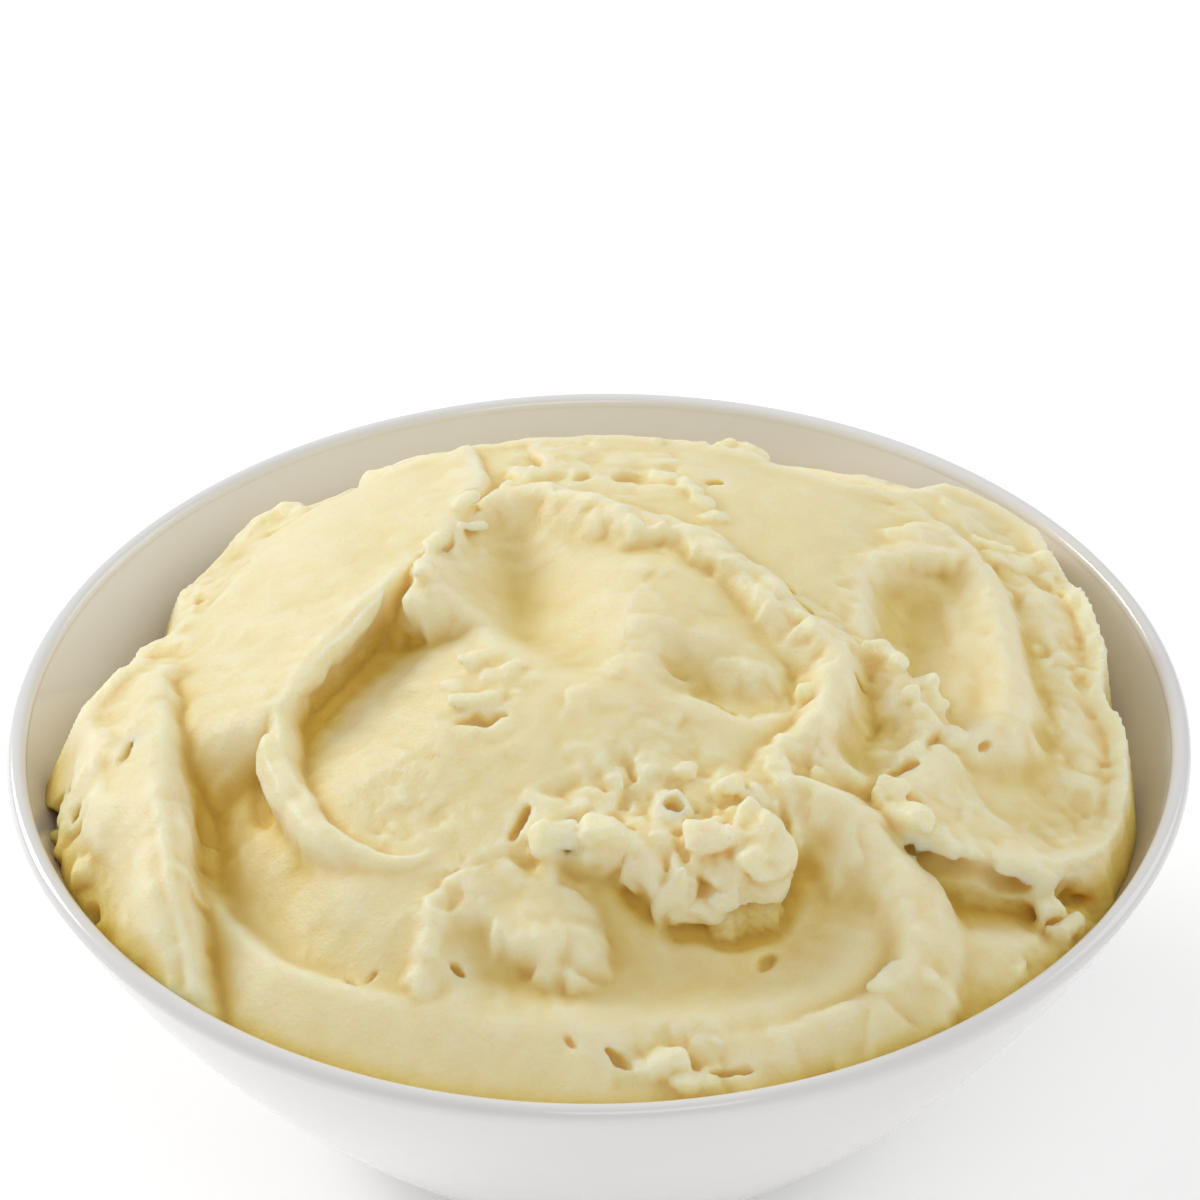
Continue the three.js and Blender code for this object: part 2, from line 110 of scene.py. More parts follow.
BODY_STROKES = [
    # Back shoulder
    pile([[-28, 57, 17], [-8, 52, 19], [12, 54, 18.5], [32, 51, 17.5], [45, 46, 15.5], [57, 38, 12]],
         round=8, left=0.5, right=0.9, blend=4, ragged=0.7),
    # Left trough
    scoop([[-65, -15, 6.5], [-65, -24, 3], [-63.5, -34, 1], [-60, -46, 0], [-54, -57, 0], [-46, -66, 1],
           [-36, -72, 2.5], [-27, -77, 3.5]],
          round=4, left=1.15, right=1.6, blend=2, ragged=0.3),
    # Left slab
    pile([[-22, 52, 20], [-20, 36, 25], [-23, 24, 26.5], [-28, 12, 26.5], [-33, 4, 26], [-38, -2, 25],
          [-44, -9, 23.5], [-48, -14, 21.5], [-51, -20, 19]],
         round=2, left=4, right=0.5, blend=1.2, reach=38, ragged=0.4),
    # Valley inside the slab
    scoop([[-22, 19, 24], [-27, 9, 18.5], [-32, 1, 15.5], [-37, -5, 14], [-42, -11, 12.5],
           [-46, -17, 11.5], [-49, -24, 11], [-50, -31, 11.5], [-47.5, -38, 13]],
          round=1.5, left=0.42, right=4, blend=1.2, ragged=0.4),
    # Swirl lip
    pile([[-50, -13, 20], [-52.5, -19, 18.5], [-52.5, -25, 17.5], [-51, -32, 16.5], [-48, -39, 15.5],
          [-44, -46.5, 15], [-39, -52, 14.5], [-33, -54.5, 14], [-28, -54.5, 14], [-23, -51, 14.5],
          [-19, -47, 15.5]],
         round=1, left=1.7, right=2.8, blend=1, reach=4, ragged=0.4),
    # Torn edge of the central hump
    pile([[-13, 42, 22], [-17, 30, 26], [-21, 23, 27], [-25, 14, 27.5], [-29.5, 7, 27], [-28.5, 2, 25.5]],
         round=1.8, left=0.1, right=3, blend=1.2, reach=16, ragged=1.6),
    # Central hump
    pile([[10, 2, 27.5], [6, -10, 27.5], [2, -22, 25.5]],
         round=10, left=0.5, right=0.5, blend=4, ragged=0.8),
    # Front trough
    scoop([[-16, -76, 4], [-4, -76, 3], [8, -75, 2], [21, -72, 1.5], [31, -66, 2], [37, -57, 6],
           [37, -48, 11]],
          round=10, left=0.95, right=0.4, blend=3, ragged=0.4),
    # Edge of the apron
    pile([[-29, -73, 5.5], [-28, -69, 7.5], [-26.5, -64, 11], [-23, -59.5, 13.5], [-15, -57, 14.5],
          [-8, -57, 15]],
         round=1.2, left=2.2, right=0.34, blend=1, reach=12, ragged=1.2),
    # Front of the hump
    pile([[-12, -53, 17], [-2, -56, 17.5], [8, -57, 17.5], [18, -58, 17], [26, -56, 17], [30, -47, 18],
          [29, -39, 19.5]],
         round=2, left=-0.12, right=3, blend=1.2, reach=20, ragged=2),
    # Ridge band and arc
    pile([[-10, 30, 27], [-3, 24, 28.5], [5, 20, 29], [15, 15, 28.5], [25, 4, 28], [33, -9, 26.5],
          [37, -18, 24.5], [37.5, -25, 23.5], [34, -32, 22.5], [27, -37, 21]],
         round=2.5, left=1, right=1.2, blend=1.2, reach=8, ragged=1.4),
    # Hollow in the hump
    scoop([[-14, 20, 21], [-13, 10, 18], [-11, -3, 19], [-5, -15, 22.5]],
          round=4.5, left=0.75, right=0.9, blend=2.5, ragged=0.3),
    # Hollow inside the arc
    scoop([[29, -11, 23], [31, -19, 20.5], [26, -24, 19.5], [17, -21, 20]],
          round=3, left=1, right=0.9, blend=1.5, ragged=1.2),
    # Right hollow
    scoop([[54, 11, 10.5], [54, 4, 9.5], [53, -5, 10], [52, -12, 10.5], [49.5, -21, 12], [45, -33, 13]],
          round=8, left=0.42, right=2.4, blend=1.5, ragged=0.4),
    # Edge over the right hollow
    pile([[42, -3, 19], [43, 6, 19], [44, 13, 18.5], [46, 18, 18.5], [50, 20, 18], [56, 21.5, 17.5],
          [61, 23, 16.5], [64, 28, 15]],
         round=1.3, left=0, right=3, blend=1, reach=8, ragged=1.2),
    # Terrace beside the right fin
    pile([[70, 28, 9], [74, 15, 8.5], [76, 3, 6.5], [77, -9, 4.5], [78, -20, 2.5]],
         round=6, left=0.9, right=0.3, blend=3, ragged=1),
    # Right fin
    pile([[55, 42, 13.5], [62, 31, 14], [66, 19, 14.5], [68, 7, 14], [68.5, -3, 13.5], [68, -12, 13],
          [65, -19, 12.5], [60, -24, 12.5], [55, -26, 13]],
         round=2, left=1.7, right=0.45, blend=1.5, reach=7, ragged=0.5),
    # Flap over the right hollow
    pile([[43, -3, 19], [46, -8, 18.5], [50, -13, 18.5], [54.5, -14, 18], [55, -19, 17.5], [53, -25, 16.5],
          [50, -31, 15.5], [46, -38, 15]],
         round=1.3, left=2.8, right=0.25, blend=1, reach=7, ragged=1.8),
    # Right trough
    scoop([[46, -58, 7], [51, -55, 3], [58, -53.5, -0.5], [66, -51.5, -3], [75, -47, -5.5],
           [83, -40, -7.5]],
          round=5, left=1.6, right=0.42, blend=2, ragged=0.4),
    # Sweep round the back
    scoop([[-50, 61, 4], [-34, 73, -1], [-12, 80, -4], [10, 80, -4], [31, 73, -2], [48, 62, 1]],
          round=6, left=0.5, right=1.3, blend=3, ragged=0.4),
    # Fold at the back
    pile([[-30, 62, 12], [-17, 68, 9], [-2, 70, 8], [12, 67, 9.5], [22, 60, 13]],
         round=3, left=0.9, right=0.1, blend=2, reach=8, ragged=1.5),
]

EDGE_STROKES = [
    # Left fin
    pile([[-71, 5, 8], [-73, -1, 11], [-72.5, -10, 12.5], [-72, -21, 13], [-71, -37, 12], [-70, -50, 10],
          [-68, -60, 7], [-66, -66, 3.5], [-63, -71, -2]],
         round=2, left=1.7, right=0.6, blend=1.6, ragged=0.6),
    # Far lump by the wall
    pile([[66, 38, 8], [73, 32, 7], [80, 26, 5.5], [84, 18, 3.5]],
         round=3, left=0.6, right=2, blend=1.5, ragged=2.2),
    # Near lump by the wall
    pile([[85, 14, 3], [85.5, 7, 2], [83, 0, 1]],
         round=2.5, left=0.8, right=2, blend=1.5, ragged=2.2),
    # Right lobe
    pile([[45, -42, 15.5], [48, -45.5, 14.5], [54, -47.5, 12.5], [62, -47.5, 9.5], [70, -45.5, 5.5],
          [77, -39, 1.5], [83, -29, -1], [87.5, -18, -1.5], [89, -8, -1]],
         round=1.8, left=-0.1, right=3.6, blend=1.2, reach=17, ragged=0.8),
    # Lower right curl
    pile([[76, -51, -5], [72, -55, -3.5], [67, -62, -4], [60, -71, -5]],
         round=2, left=0.9, right=0.9, blend=1.5, ragged=1.3),
    # Front ridge
    pile([[27, -43, 19], [32, -43.5, 19.5], [38, -45, 18], [43, -50, 15.5], [46.5, -55, 12.5],
          [48.5, -61, 9], [48.5, -67, 6], [46.5, -72, 4.5], [42, -76.5, 3], [35, -80, 2], [28, -82, 1.5],
          [20, -84, 0.5]],
         round=1.6, left=0.9, right=1, blend=1.2, reach=7, ragged=0.6),
]

# Where the mash is torn into flakes and lumps: [x, y, radius, strength].
TORN_AREAS = [
    [8, -46, 17, 0.75], [20, -54, 13, 0.8], [-31, -6, 9, 0.15], [-18, -24, 11, 0.25], [-30, -42, 14, 0.3],
    [29, -19, 9, 0.4], [-6, 46, 12, 0.45], [10, 38, 11, 0.5], [76, 28, 13, 0.6], [83, 8, 12, 0.6],
    [58, -38, 12, 0.3], [76, -28, 12, 0.15], [50, -18, 9, 0.3], [-88, -24, 9, 0.7], [-83, 12, 8, 0.7],
    [-68, 40, 10, 0.6], [-73, 18, 8, 0.5], [12, -87, 10, 0.7], [74, -53, 9, 0.6], [-12, -76, 14, 0.15],
    [0, 68, 14, 0.5], [30, 66, 12, 0.5], [-40, 62, 12, 0.4], [48, -46, 7, 0.8], [-54, 56, 9, 0.6],
]

# Broken pieces that stand out: [x, y, lift over the mash, length, width, thickness, turn, pitch, roll], in
# millimetres and degrees.
CHUNKS = [
    # Front of the heap
    [15.5, -61, -0.4, 10, 5.5, 6.5, -4, 0, 20], [17, -56, 0.4, 7.8, 6, 4.6, 20, 10, 25],
    [24, -55, 0.6, 8, 7.5, 5, -30, 0, 30], [26.5, -59, 1, 9, 8, 7, 40, 0, 35],
    [6, -57, 0, 3.2, 5, 9.5, 6, 0, -15], [18, -59.5, 0.6, 5, 4.4, 4, 60, 10, 20],
    [21, -45, 0.4, 4.6, 3.6, 2.6, 10, 0, 10], [25, -46, 0.4, 4, 3.6, 2.4, 50, 20, 0],
    [-7, -54, -0.6, 7, 6, 9, 12, 0, 15], [0.5, -56, -0.8, 9.5, 7, 11, -8, 0, 10],
    [11, -49, 0.2, 6, 5, 3, 30, 15, 10], [14, -41, 0.2, 5, 4, 2.5, 70, 10, 20],
    # Right lobe and flap
    [50, -45.5, 1, 9.5, 4.2, 3.6, -42, 12, 10], [47, -41, 0.5, 6, 4, 3, -20, 0, 20],
    [45, -8, 1.6, 2.4, 2, 5, 20, 10, 0], [50, -12, 0.8, 4.4, 3, 2.4, -35, 0, 20],
    [54, -14.5, 0.8, 4.6, 2.6, 2.2, 10, 20, 10], [56, -18, 0.8, 5, 3, 2.2, -50, 0, 20],
    [58, -24, 0.6, 5, 3.6, 2.6, 35, 10, 0], [51, -18, 0.4, 4, 3, 2, 0, 0, 25],
    [34, -22, 1, 4.6, 4, 3, 15, 0, 20],
    # Torn edge of the hump
    [-27, 14, 0.6, 6, 3, 1.6, 40, 10, 0], [-29, 5, 0.5, 6.5, 3, 1.3, 75, -10, 10],
    [-22, 26, 0.6, 6, 3, 2, 50, 10, 10],
    [-20.5, 21, 1, 7, 2.6, 1.6, 25, -12, 0], [-20, -15, 0.5, 8, 4, 1.4, 20, -8, 10],
    [-16, -19, 0.4, 6, 3.4, 1.3, -15, 5, 15], [-13.5, -18, 0.6, 4.4, 2.4, 1.2, 35, 10, 20],
    [-24, -20, 0.3, 5.4, 2.6, 1.3, -30, 0, 10], [-20, -25, 0.5, 9, 2.6, 1.1, 4, 3, 8],
    # Back lobe's fringe
    [12, 38, 0.3, 6.6, 4, 2, -20, 0, 10], [16, 34.5, 0.3, 6.6, 4, 2.2, -60, 10, 0],
    [18.5, 29.5, 0.2, 5.6, 3.2, 2, -40, 0, 15], [20.5, 25, 0.2, 5, 3, 1.8, 10, 10, 0],
    # By the wall
    [72, -50, 1, 5.4, 4.2, 4, 20, 0, 10], [73.5, -54, 0.8, 4.4, 4, 3.2, -30, 10, 0],
    [76.5, -52, 0.2, 4.4, 3.4, 2.6, 50, 0, 20], [79.5, -50, 0.1, 4.2, 3.2, 2.4, 0, 20, 0],
    [-88, -29, 0.4, 5.2, 4, 3.6, 30, 0, 0], [-89.5, -23, 0.2, 4.4, 2.8, 2.2, -20, 0, 0],
    [-81, 4, 0.4, 3.4, 2.2, 3.6, 20, 10, 0],
    [-84.5, -38, 0.4, 5.4, 4.6, 4, 0, 10, 10], [-87.5, -20, 0.4, 4.4, 3, 3, 60, 0, 10],
    # Front edge
    [10, -87.5, 0.8, 5.6, 5, 4.2, 10, 0, 20], [13.5, -90.5, 0.4, 5.4, 4.2, 4, -40, 0, 0],
    [7, -88.5, 0.4, 5, 3.4, 3.2, 20, 10, 0], [16.5, -89.5, 0.2, 4.6, 4, 3.4, 70, 0, 10],
    [44.5, -74, 0.3, 8.5, 3.2, 2.6, 48, 0, 10], [52, -72, 0.6, 3.2, 2.6, 2.2, 0, 0, 0],
    # Crumbs on the wall
    [33, -89.5, 0.7, 3.6, 2.2, 2, 15, 0, 10], [-75, -54.5, 0.8, 3.2, 2.6, 2.4, 40, 10, 0],
]
# Loose bits are scattered over the torn places, the larger ones where it is torn most.
LOOSE_CHUNKS = 120
SCATTER_TRIES = 60000
SCATTER_HALF = 92
SCATTER_CHANCE = 0.35
SCATTER_SEED = 5
LOOSE_SIZES = [1.6, 5.5]
SMALL_BIAS = 2.2
LOOSE_SHAPES = [[0.9, 1.5], [0.7, 1.1], [0.3, 0.75]]  # length, width and thickness for a size of 1
LOOSE_LIFTS = [-0.45, 0.0]  # in thicknesses
LOOSE_ANGLES = [[0, 360], [-40, 40], [-40, 40]]
# Corners knocked off each piece, its worn faces and how it joins the mash
CHUNK_CUTS = 6
CUT_DEPTHS = [0.55, 0.85]
CUT_BLEND = 1.3
CHUNK_WEAR = 0.34
CHUNK_WEAR_SIZE = 0.6
CHUNK_CORNER = 0.35
CHUNK_BLEND = 1.1
CHUNK_MARGIN = 1.5
CHUNK_SEED = 200

# Holes and crevices: [x, y, depth, length, width, turn].
PITS = [
    [32, 5, 2, 5.5, 1.8, -55], [35, -1, 2, 4.5, 1.6, -50], [20, -25, 2.2, 7.5, 2, -40],
    [44, -16.5, 2, 6.5, 1.5, -25], [58, -25, 1, 3, 1.6, 0], [63, -24, 0.7, 3, 1.6, 30],
    [12, -48.5, 2.2, 3, 4.4, 0], [26, -67, 1.4, 4.2, 2.4, 40],
    [2.5, -87.5, 1.8, 6.5, 1.8, -38], [20, -88.5, 1.6, 7, 1.5, 4], [49, -34, 2.2, 6.5, 2.6, 20],
    [-2, 39, 1.2, 3.4, 3, 20], [6, 39, 1.6, 6.4, 4.4, 0], [-21, 29, 2.2, 4.6, 2.6, 60],
    [-19, -29, 2.2, 9.5, 2.6, 2], [-13, -50, 2.4, 8.5, 2.8, 62], [-5, -54, 1.4, 6.5, 1.5, 80],
    [-22.5, -72, 2.4, 3.2, 1.8, -35], [-39.5, -71, 0.9, 3.6, 1, -45], [-36.5, -71, 0.9, 3.6, 1, 45],
    [-5, -85, 1.2, 3.2, 1.4, -50], [-78, -22, 0.9, 11.5, 1.6, 62], [-82, -46, 3, 5, 2.6, -60],
    [21, 38, 2, 3.4, 2.2, 0],
]

PIT_WOBBLE = 0.25
PIT_WOBBLE_SIZE = 0.6
PIT_BLEND = 0.4
PIT_MARGIN = 1
PIT_SEED_STEP = 7

# Groove under the right lobe's overhanging edge: its middle line [x, y, height over the rim] and radius.
UNDERCUT = [[50, -47.5, 8.5], [55, -49.5, 6.5], [61, -50, 4.5], [67, -48.5, 2]]
UNDERCUT_RADIUS = 2.2
UNDERCUT_WOBBLE = 0.3
UNDERCUT_WOBBLE_SIZE = 1.6
UNDERCUT_BLEND = 1.2
UNDERCUT_MARGIN = 3
UNDERCUT_SEED = 400

# Mash, fine form
VOXEL = 0.45
FIELD_LOW = -68.0  # over the rim's plane
FIELD_HIGH = 33.0
FIELD_HALF = 97.8
FIELD_REACH = 3.0  # distances in the level set are cut off at this
SHADE_LOW = -24.0  # the colour maps start here
WALL_PUSH = 0.5  # how far the mash reaches into the wall
WALL_STEP = 0.1
MOST_TRIANGLES = 196000
TINY = 1e-6
LAST_CELL = 1.001  # keeps a reading just short of a grid's last point
FAR = 99.0

# Noise and broken plates. Unevenness is given as strength, size, layers and a seed for each axis or map, and
# plates without the layers.
LATTICE = 48
BLOCK_SHIFT = 40  # the noise round a chunk or pit is read this far along each axis
GROOVE_SHIFT = 200
EDGE_BEND = (1.6, 4.0, 3, 5, 8)
WANDER = (1.2, 9.0, 3, 11, 23, 37)
WANDER_PLATES = (0.9, 6.0, 14, 26, 40)
FLAKE_BEND = (2.2, 5.0, 3, 51, 53)
BROAD_FLAKES = (2.0, 7.5, 61)
SMALL_FLAKES = (0.7, 3.4, 67)
FLAKE_DROP = 0.2
BROAD_SWELL = (0.6, 15.0, 3, 71)
FINE_SWELL = (0.12, 3.0, 2, 79)
# Broken plates: how far their centres stray, how sharp their edges are, and their levels and tilts
PLATE_JITTER = 0.45
PLATE_SHARPNESS = 16
PLATE_LEVEL = 0.7
PLATE_TILT = 1.1

# Torn places: how far their outlines wander and how fast they fade, and the torn band along a pile's crest
TORN_WANDER = 3
TORN_FADE = 1.6
CREST_TORN = 0.35
CREST_TORN_MOST = 0.7
CREST_TORN_WIDTH = 3
CREST_WANDER = 0.5
BANK_WANDER = 0.8
# The relief is calmer on slopes.
CALM_BLUR = 1.2
CALM_START = 1.25
CALM_PER_SLOPE = 0.45
CALM_LEAST = 0.15

# How steep sides lean out under their crests, by slope
LEAN_BLUR = 1.6
CREST_BLUR = 6.0
LEAN = 0.38
LEAN_FROM_SLOPE = 0.7
LEAN_OVER_SLOPE = 0.8
LEAN_BAND = 6
LEAN_RISE = 4
BREAK_FROM_SLOPE = 0.5
BREAK = 0.5
BREAK_TORN = 1.6
BREAK_SHIFTS = (1, 4.5, 2, 111, 113)
# Grain and crumble all round the surface
ROUGH_BAND = 2.0
GRAIN = (1, 1.9, 2, 101)
GRAIN_DEPTH = 0.05
GRAIN_TORN = 0.2
CRUMBLE = (2.0, 3.6, 2, 105)
CRUMBLE_SHARPNESS = 3
CRUMBLE_BEND = (1.2, 3.0, 1, 91, 92, 93)
CRUMBLE_TORN = 0.4

# Colour maps: the hollow and crease ones place the mash's painted shade
SKY_DIRECTIONS = 16
SKY_DISTANCES = [1.5, 3, 5, 8, 12, 17, 24, 34]
SKY_BLURS = (1.0, 1.5)
ROOM_RADII = (5.0, 2.0)  # for hollows and for creases
HALF_FULL = 0.5
HOLLOW_BY_SKY = 1.1
HOLLOW_BY_ROOM = 2.0
CREASE_BY_ROOM = 1.8


def smooth_max(a, b, blend):
    share = np.clip(0.5 + 0.5 * (a - b) / blend, 0, 1)
    return b + (a - b) * share + blend * share * (1 - share)


def smooth_min(a, b, blend):
    return -smooth_max(-a, -b, blend)


def clipped(distance):
    return np.clip(distance, -FIELD_REACH, FIELD_REACH)


def noise(places, size, seed):
    """Smooth noise from -1 to 1, with bumps about size across, on a plan or in space."""
    dimensions = len(places)
    lattice = np.random.default_rng(seed).uniform(-1, 1, (LATTICE,) * dimensions).astype(np.float32)
    lows = []
    fades = []
    for values in places:
        scaled = values / size
        low = np.floor(scaled)
        share = (scaled - low).astype(np.float32)
        lows.append(low.astype(np.int32))
        fades.append(share * share * (3 - 2 * share))
    total = np.zeros(places[0].shape, np.float32)
    for corner in itertools.product((0, 1), repeat=dimensions):
        index = tuple((low + bit) % LATTICE for low, bit in zip(lows, corner))
        weight = 1.0
        for fade, bit in zip(fades, corner):
            weight = weight * (fade if bit else 1 - fade)
        total += weight * lattice[index]
    return total


def turned(places):
    """The same places on axes turned out of line, so that layers of noise don't line up."""
    x, y = places[:2]
    if len(places) == 2:
        return (0.8 * x - 0.6 * y, 0.6 * x + 0.8 * y)
    z = places[2]
    return (0.8 * x - 0.6 * y, 0.48 * x + 0.64 * y - 0.6 * z, 0.36 * x + 0.48 * y + 0.8 * z)


def layered_noise(places, size, layers, seed):
    """Layers of noise, each half the size and strength of the one before."""
    total = 0.0
    reach = 0.0
    strength = 1.0
    for layer in range(layers):
        total = total + strength * noise(places, size, seed + layer)
        reach += strength
        places = turned(places)
        size *= 0.5
        strength *= 0.5
    return total / reach


def uneven(places, strength, size, layers, *seeds):
    return [strength * layered_noise(places, size, layers, seed) for seed in seeds]


def bent_places(x, y, kind):
    """The places shifted about by noise, so that plates read there have broken outlines."""
    shift_x, shift_y = uneven((x, y), *kind)
    return x + shift_x, y + shift_y


def plates(x, y, size, seed):
    """Broken plates about size across, each with its own level and tilt, mostly from -1 to 1."""
    rng = np.random.default_rng(seed)
    jitter = rng.uniform(-PLATE_JITTER, PLATE_JITTER, (2, LATTICE, LATTICE))
    level, tilt_x, tilt_y = rng.uniform(-1, 1, (3, LATTICE, LATTICE))
    low_x = np.floor(x / size - 0.5).astype(int)
    low_y = np.floor(y / size - 0.5).astype(int)
    total = 0.0
    height = 0.0
    for step_x, step_y in itertools.product((0, 1), repeat=2):
        i, j = low_x + step_x, low_y + step_y
        place = (i % LATTICE, j % LATTICE)
        off_x = x / size - i - 0.5 - jitter[0][place]
        off_y = y / size - j - 0.5 - jitter[1][place]
        weight = np.exp(-PLATE_SHARPNESS * np.hypot(off_x, off_y))
        tilted = tilt_x[place] * off_x + tilt_y[place] * off_y
        total = total + weight
        height = height + weight * (PLATE_LEVEL * level[place] + PLATE_TILT * tilted)
    return height / total


def broken(places, strength, size, *seeds):
    return [strength * plates(*places, size, seed) for seed in seeds]


def by_direction(stations, direction):
    """Reads [degrees, value] stations smoothly, all the way round."""
    turns = np.array([station[0] for station in stations] + [stations[0][0] + 360], float)
    values = np.array([station[1] for station in stations] + [stations[0][1]], float)
    degrees = np.degrees(direction) % 360
    degrees = np.where(degrees < turns[0], degrees + 360, degrees)
    i = np.clip(np.searchsorted(turns, degrees, side="right") - 1, 0, len(turns) - 2)
    share = (degrees - turns[i]) / (turns[i + 1] - turns[i])
    share = share * share * (3 - 2 * share)
    return values[i] + (values[i + 1] - values[i]) * share


def smooth_path(path):
    """A Catmull-Rom curve through the path's points."""
    stations = np.array(path, float)
    ends = np.vstack([2 * stations[0] - stations[1], stations, 2 * stations[-1] - stations[-2]])
    points = []
    for a, b, c, d in zip(ends, ends[1:], ends[2:], ends[3:]):
        steps = max(1, math.ceil(math.hypot(*(c - b)[:2]) / PATH_STEP))
        for t in np.arange(steps) / steps:
            squared = (2 * a - 5 * b + 4 * c - d) * t ** 2
            cubed = (3 * b - a - 3 * c + d) * t ** 3
            points.append(0.5 * (2 * b + (c - a) * t + squared + cubed))
    points.append(stations[-1])
    return points


def off_segment(start, end, x, y):
    """Distance from a segment seen from above, the side (1 is left, -1 is right) and its height there."""
    along = end[:2] - start[:2]
    length = math.hypot(*along)
    share = np.clip(((x - start[0]) * along[0] + (y - start[1]) * along[1]) / length ** 2, 0, 1)
    off_x = x - start[0] - share * along[0]
    off_y = y - start[1] - share * along[1]
    distance = np.hypot(off_x, off_y)
    side = (along[0] * off_y - along[1] * off_x) / (length * np.maximum(distance, TINY))
    return distance, side, start[2] + share * (end[2] - start[2])


def nearest_on_path(points, x, y):
    """Distance from a path seen from above, the side of it and its height there."""
    segments = [off_segment(start, end, x, y) for start, end in zip(points, points[1:])]
    nearest = np.minimum.reduce([distance for distance, _, _ in segments])
    total = 0.0
    side = 0.0
    height = 0.0
    for distance, turn, level in segments:
        weight = np.exp((nearest - distance) / NEARNESS)
        total = total + weight
        side = side + weight * turn
        height = height + weight * level
    return nearest, side / total, height / total


def with_stroke(height, torn, stroke, x, y, wander):
    """The height with one stroke worked into it, and the map of torn places with its edge."""
    ragged = stroke["ragged"]
    distance, side, crest = nearest_on_path(
        smooth_path(stroke["path"]), x + ragged * wander[0], y + ragged * wander[1]
    )
    slope = stroke["right"] + (stroke["left"] - stroke["right"]) * (0.5 + 0.5 * side)
    past = np.maximum(distance - stroke.get("reach", ENDLESS), 0)
    away = slope * (np.hypot(distance, stroke["round"]) - stroke["round"])
    away = away + SKIRT_SLOPE * past * past / (past + SKIRT_BLEND)
    if stroke["kind"] == "pile":
        crest = crest + CREST_WANDER * ragged * wander[2]
        strength = np.clip(CREST_TORN * ragged, 0, CREST_TORN_MOST)
        torn = np.maximum(torn, strength * np.exp(-(distance / CREST_TORN_WIDTH) ** 2))
        return smooth_max(height, crest - away, stroke["blend"]), torn
    return smooth_min(height, crest + away, stroke["blend"]), torn


def wall_radius(drop):
    """The inner wall's radius this far under the rim's plane."""
    depth = drop - LIP_RADIUS
    return INNER_RIM - WALL_LEAN * depth - INNER_CURVE * depth * depth


def main_form(x, y):
    """The mash's height over the rim's plane, and how torn it is, from 0 to 1."""
    radius = np.hypot(x, y)
    direction = np.arctan2(y, x)
    drop = by_direction(EDGE_DROPS, direction)
    share = radius / MOUND_RADIUS
    power = MOUND_POWER + MOUND_POWER_SWING * np.sin(direction) * np.minimum(2 * share, 1)
    height = MOUND_TOP - (MOUND_TOP + drop) * share ** power
    limit = by_direction(BANK_SLOPES, direction) * (wall_radius(drop) - radius) - drop
    rough = broken(bent_places(x, y, EDGE_BEND), *WANDER_PLATES)
    wander = [smooth + jagged for smooth, jagged in zip(uneven((x, y), *WANDER), rough)]
    torn = np.zeros(x.shape)
    for area_x, area_y, area_radius, strength in TORN_AREAS:
        away = np.hypot(x + TORN_WANDER * wander[0] - area_x, y + TORN_WANDER * wander[1] - area_y)
        torn = np.maximum(torn, strength * np.clip(TORN_FADE - TORN_FADE * (away / area_radius), 0, 1))
    for stroke in BODY_STROKES:
        height, torn = with_stroke(height, torn, stroke, x, y, wander)
    height = smooth_min(height, limit + BANK_WANDER * wander[1], BANK_BLEND)
    for stroke in EDGE_STROKES:
        height, torn = with_stroke(height, torn, stroke, x, y, wander)
    return smooth_min(height, limit + EDGE_PILE_RISE, BANK_BLEND), torn


def terraces(values, sharpness):
    """Rounds values towards whole numbers, in steps that are the steeper the higher the sharpness."""
    whole = np.floor(values)
    share = values - whole
    return whole + np.clip(0.5 + (share - 0.5) * sharpness, 0, 1)


def relief(x, y, torn):
    """Flakes with broken edges and gentle unevenness over the main form."""
    bent = bent_places(x, y, FLAKE_BEND)
    flakes = broken(bent, *BROAD_FLAKES)[0] + broken(turned(bent), *SMALL_FLAKES)[0]
    swell = uneven((x, y), *BROAD_SWELL)[0] + uneven((x, y), *FINE_SWELL)[0]
    return swell + torn * (flakes - FLAKE_DROP)


def plan_grid():
    steps = int(2 * FIELD_HALF / VOXEL) + 1
    places = (np.arange(steps) - (steps - 1) / 2) * VOXEL
    return np.meshgrid(places, places, indexing="ij")


def sample(grid, x, y):
    """Reads a plan grid between its points."""
    steps = grid.shape[0]
    u = np.clip(x / VOXEL + (steps - 1) / 2, 0, steps - LAST_CELL)
    v = np.clip(y / VOXEL + (steps - 1) / 2, 0, steps - LAST_CELL)
    i = u.astype(np.int32)
    j = v.astype(np.int32)
    fu = (u - i).astype(np.float32)
    fv = (v - j).astype(np.float32)
    return (
        grid[i, j] * (1 - fu) * (1 - fv) + grid[i + 1, j] * fu * (1 - fv)
        + grid[i, j + 1] * (1 - fu) * fv + grid[i + 1, j + 1] * fu * fv
    )


def level_at(grid, x, y):
    return float(sample(grid, np.array([x]), np.array([y]))[0])


def box_blurred(grid, radius, times, precision):
    """Box blurs along each axis in turn, close to a Gaussian one of this radius in millimetres."""
    half = max(1, round(radius / VOXEL))
    width = 2 * half + 1
    for axis in tuple(range(grid.ndim)) * times:
        edges = [(half + 1, half) if other == axis else (0, 0) for other in range(grid.ndim)]
        sums = np.cumsum(np.pad(grid, edges, mode="edge"), axis=axis, dtype=precision)
        high, low = [slice(None)] * grid.ndim, [slice(None)] * grid.ndim
        high[axis] = slice(width, None)
        low[axis] = slice(None, -width)
        grid = ((sums[tuple(high)] - sums[tuple(low)]) / width).astype(np.float32)
    return grid


def blurred(grid, radius):
    return box_blurred(grid, radius, 3, np.float64)


def inner_height(radius):
    """The bowl's inside, over the rim's plane."""
    drawn_in = INNER_RIM - np.minimum(radius, INNER_RIM)
    depth = (np.sqrt(WALL_LEAN ** 2 + 4 * INNER_CURVE * drawn_in) - WALL_LEAN) / (2 * INNER_CURVE)
    return smooth_max(-LIP_RADIUS - depth, FLOOR_HEIGHT - BOWL_HEIGHT, FLOOR_BLEND)


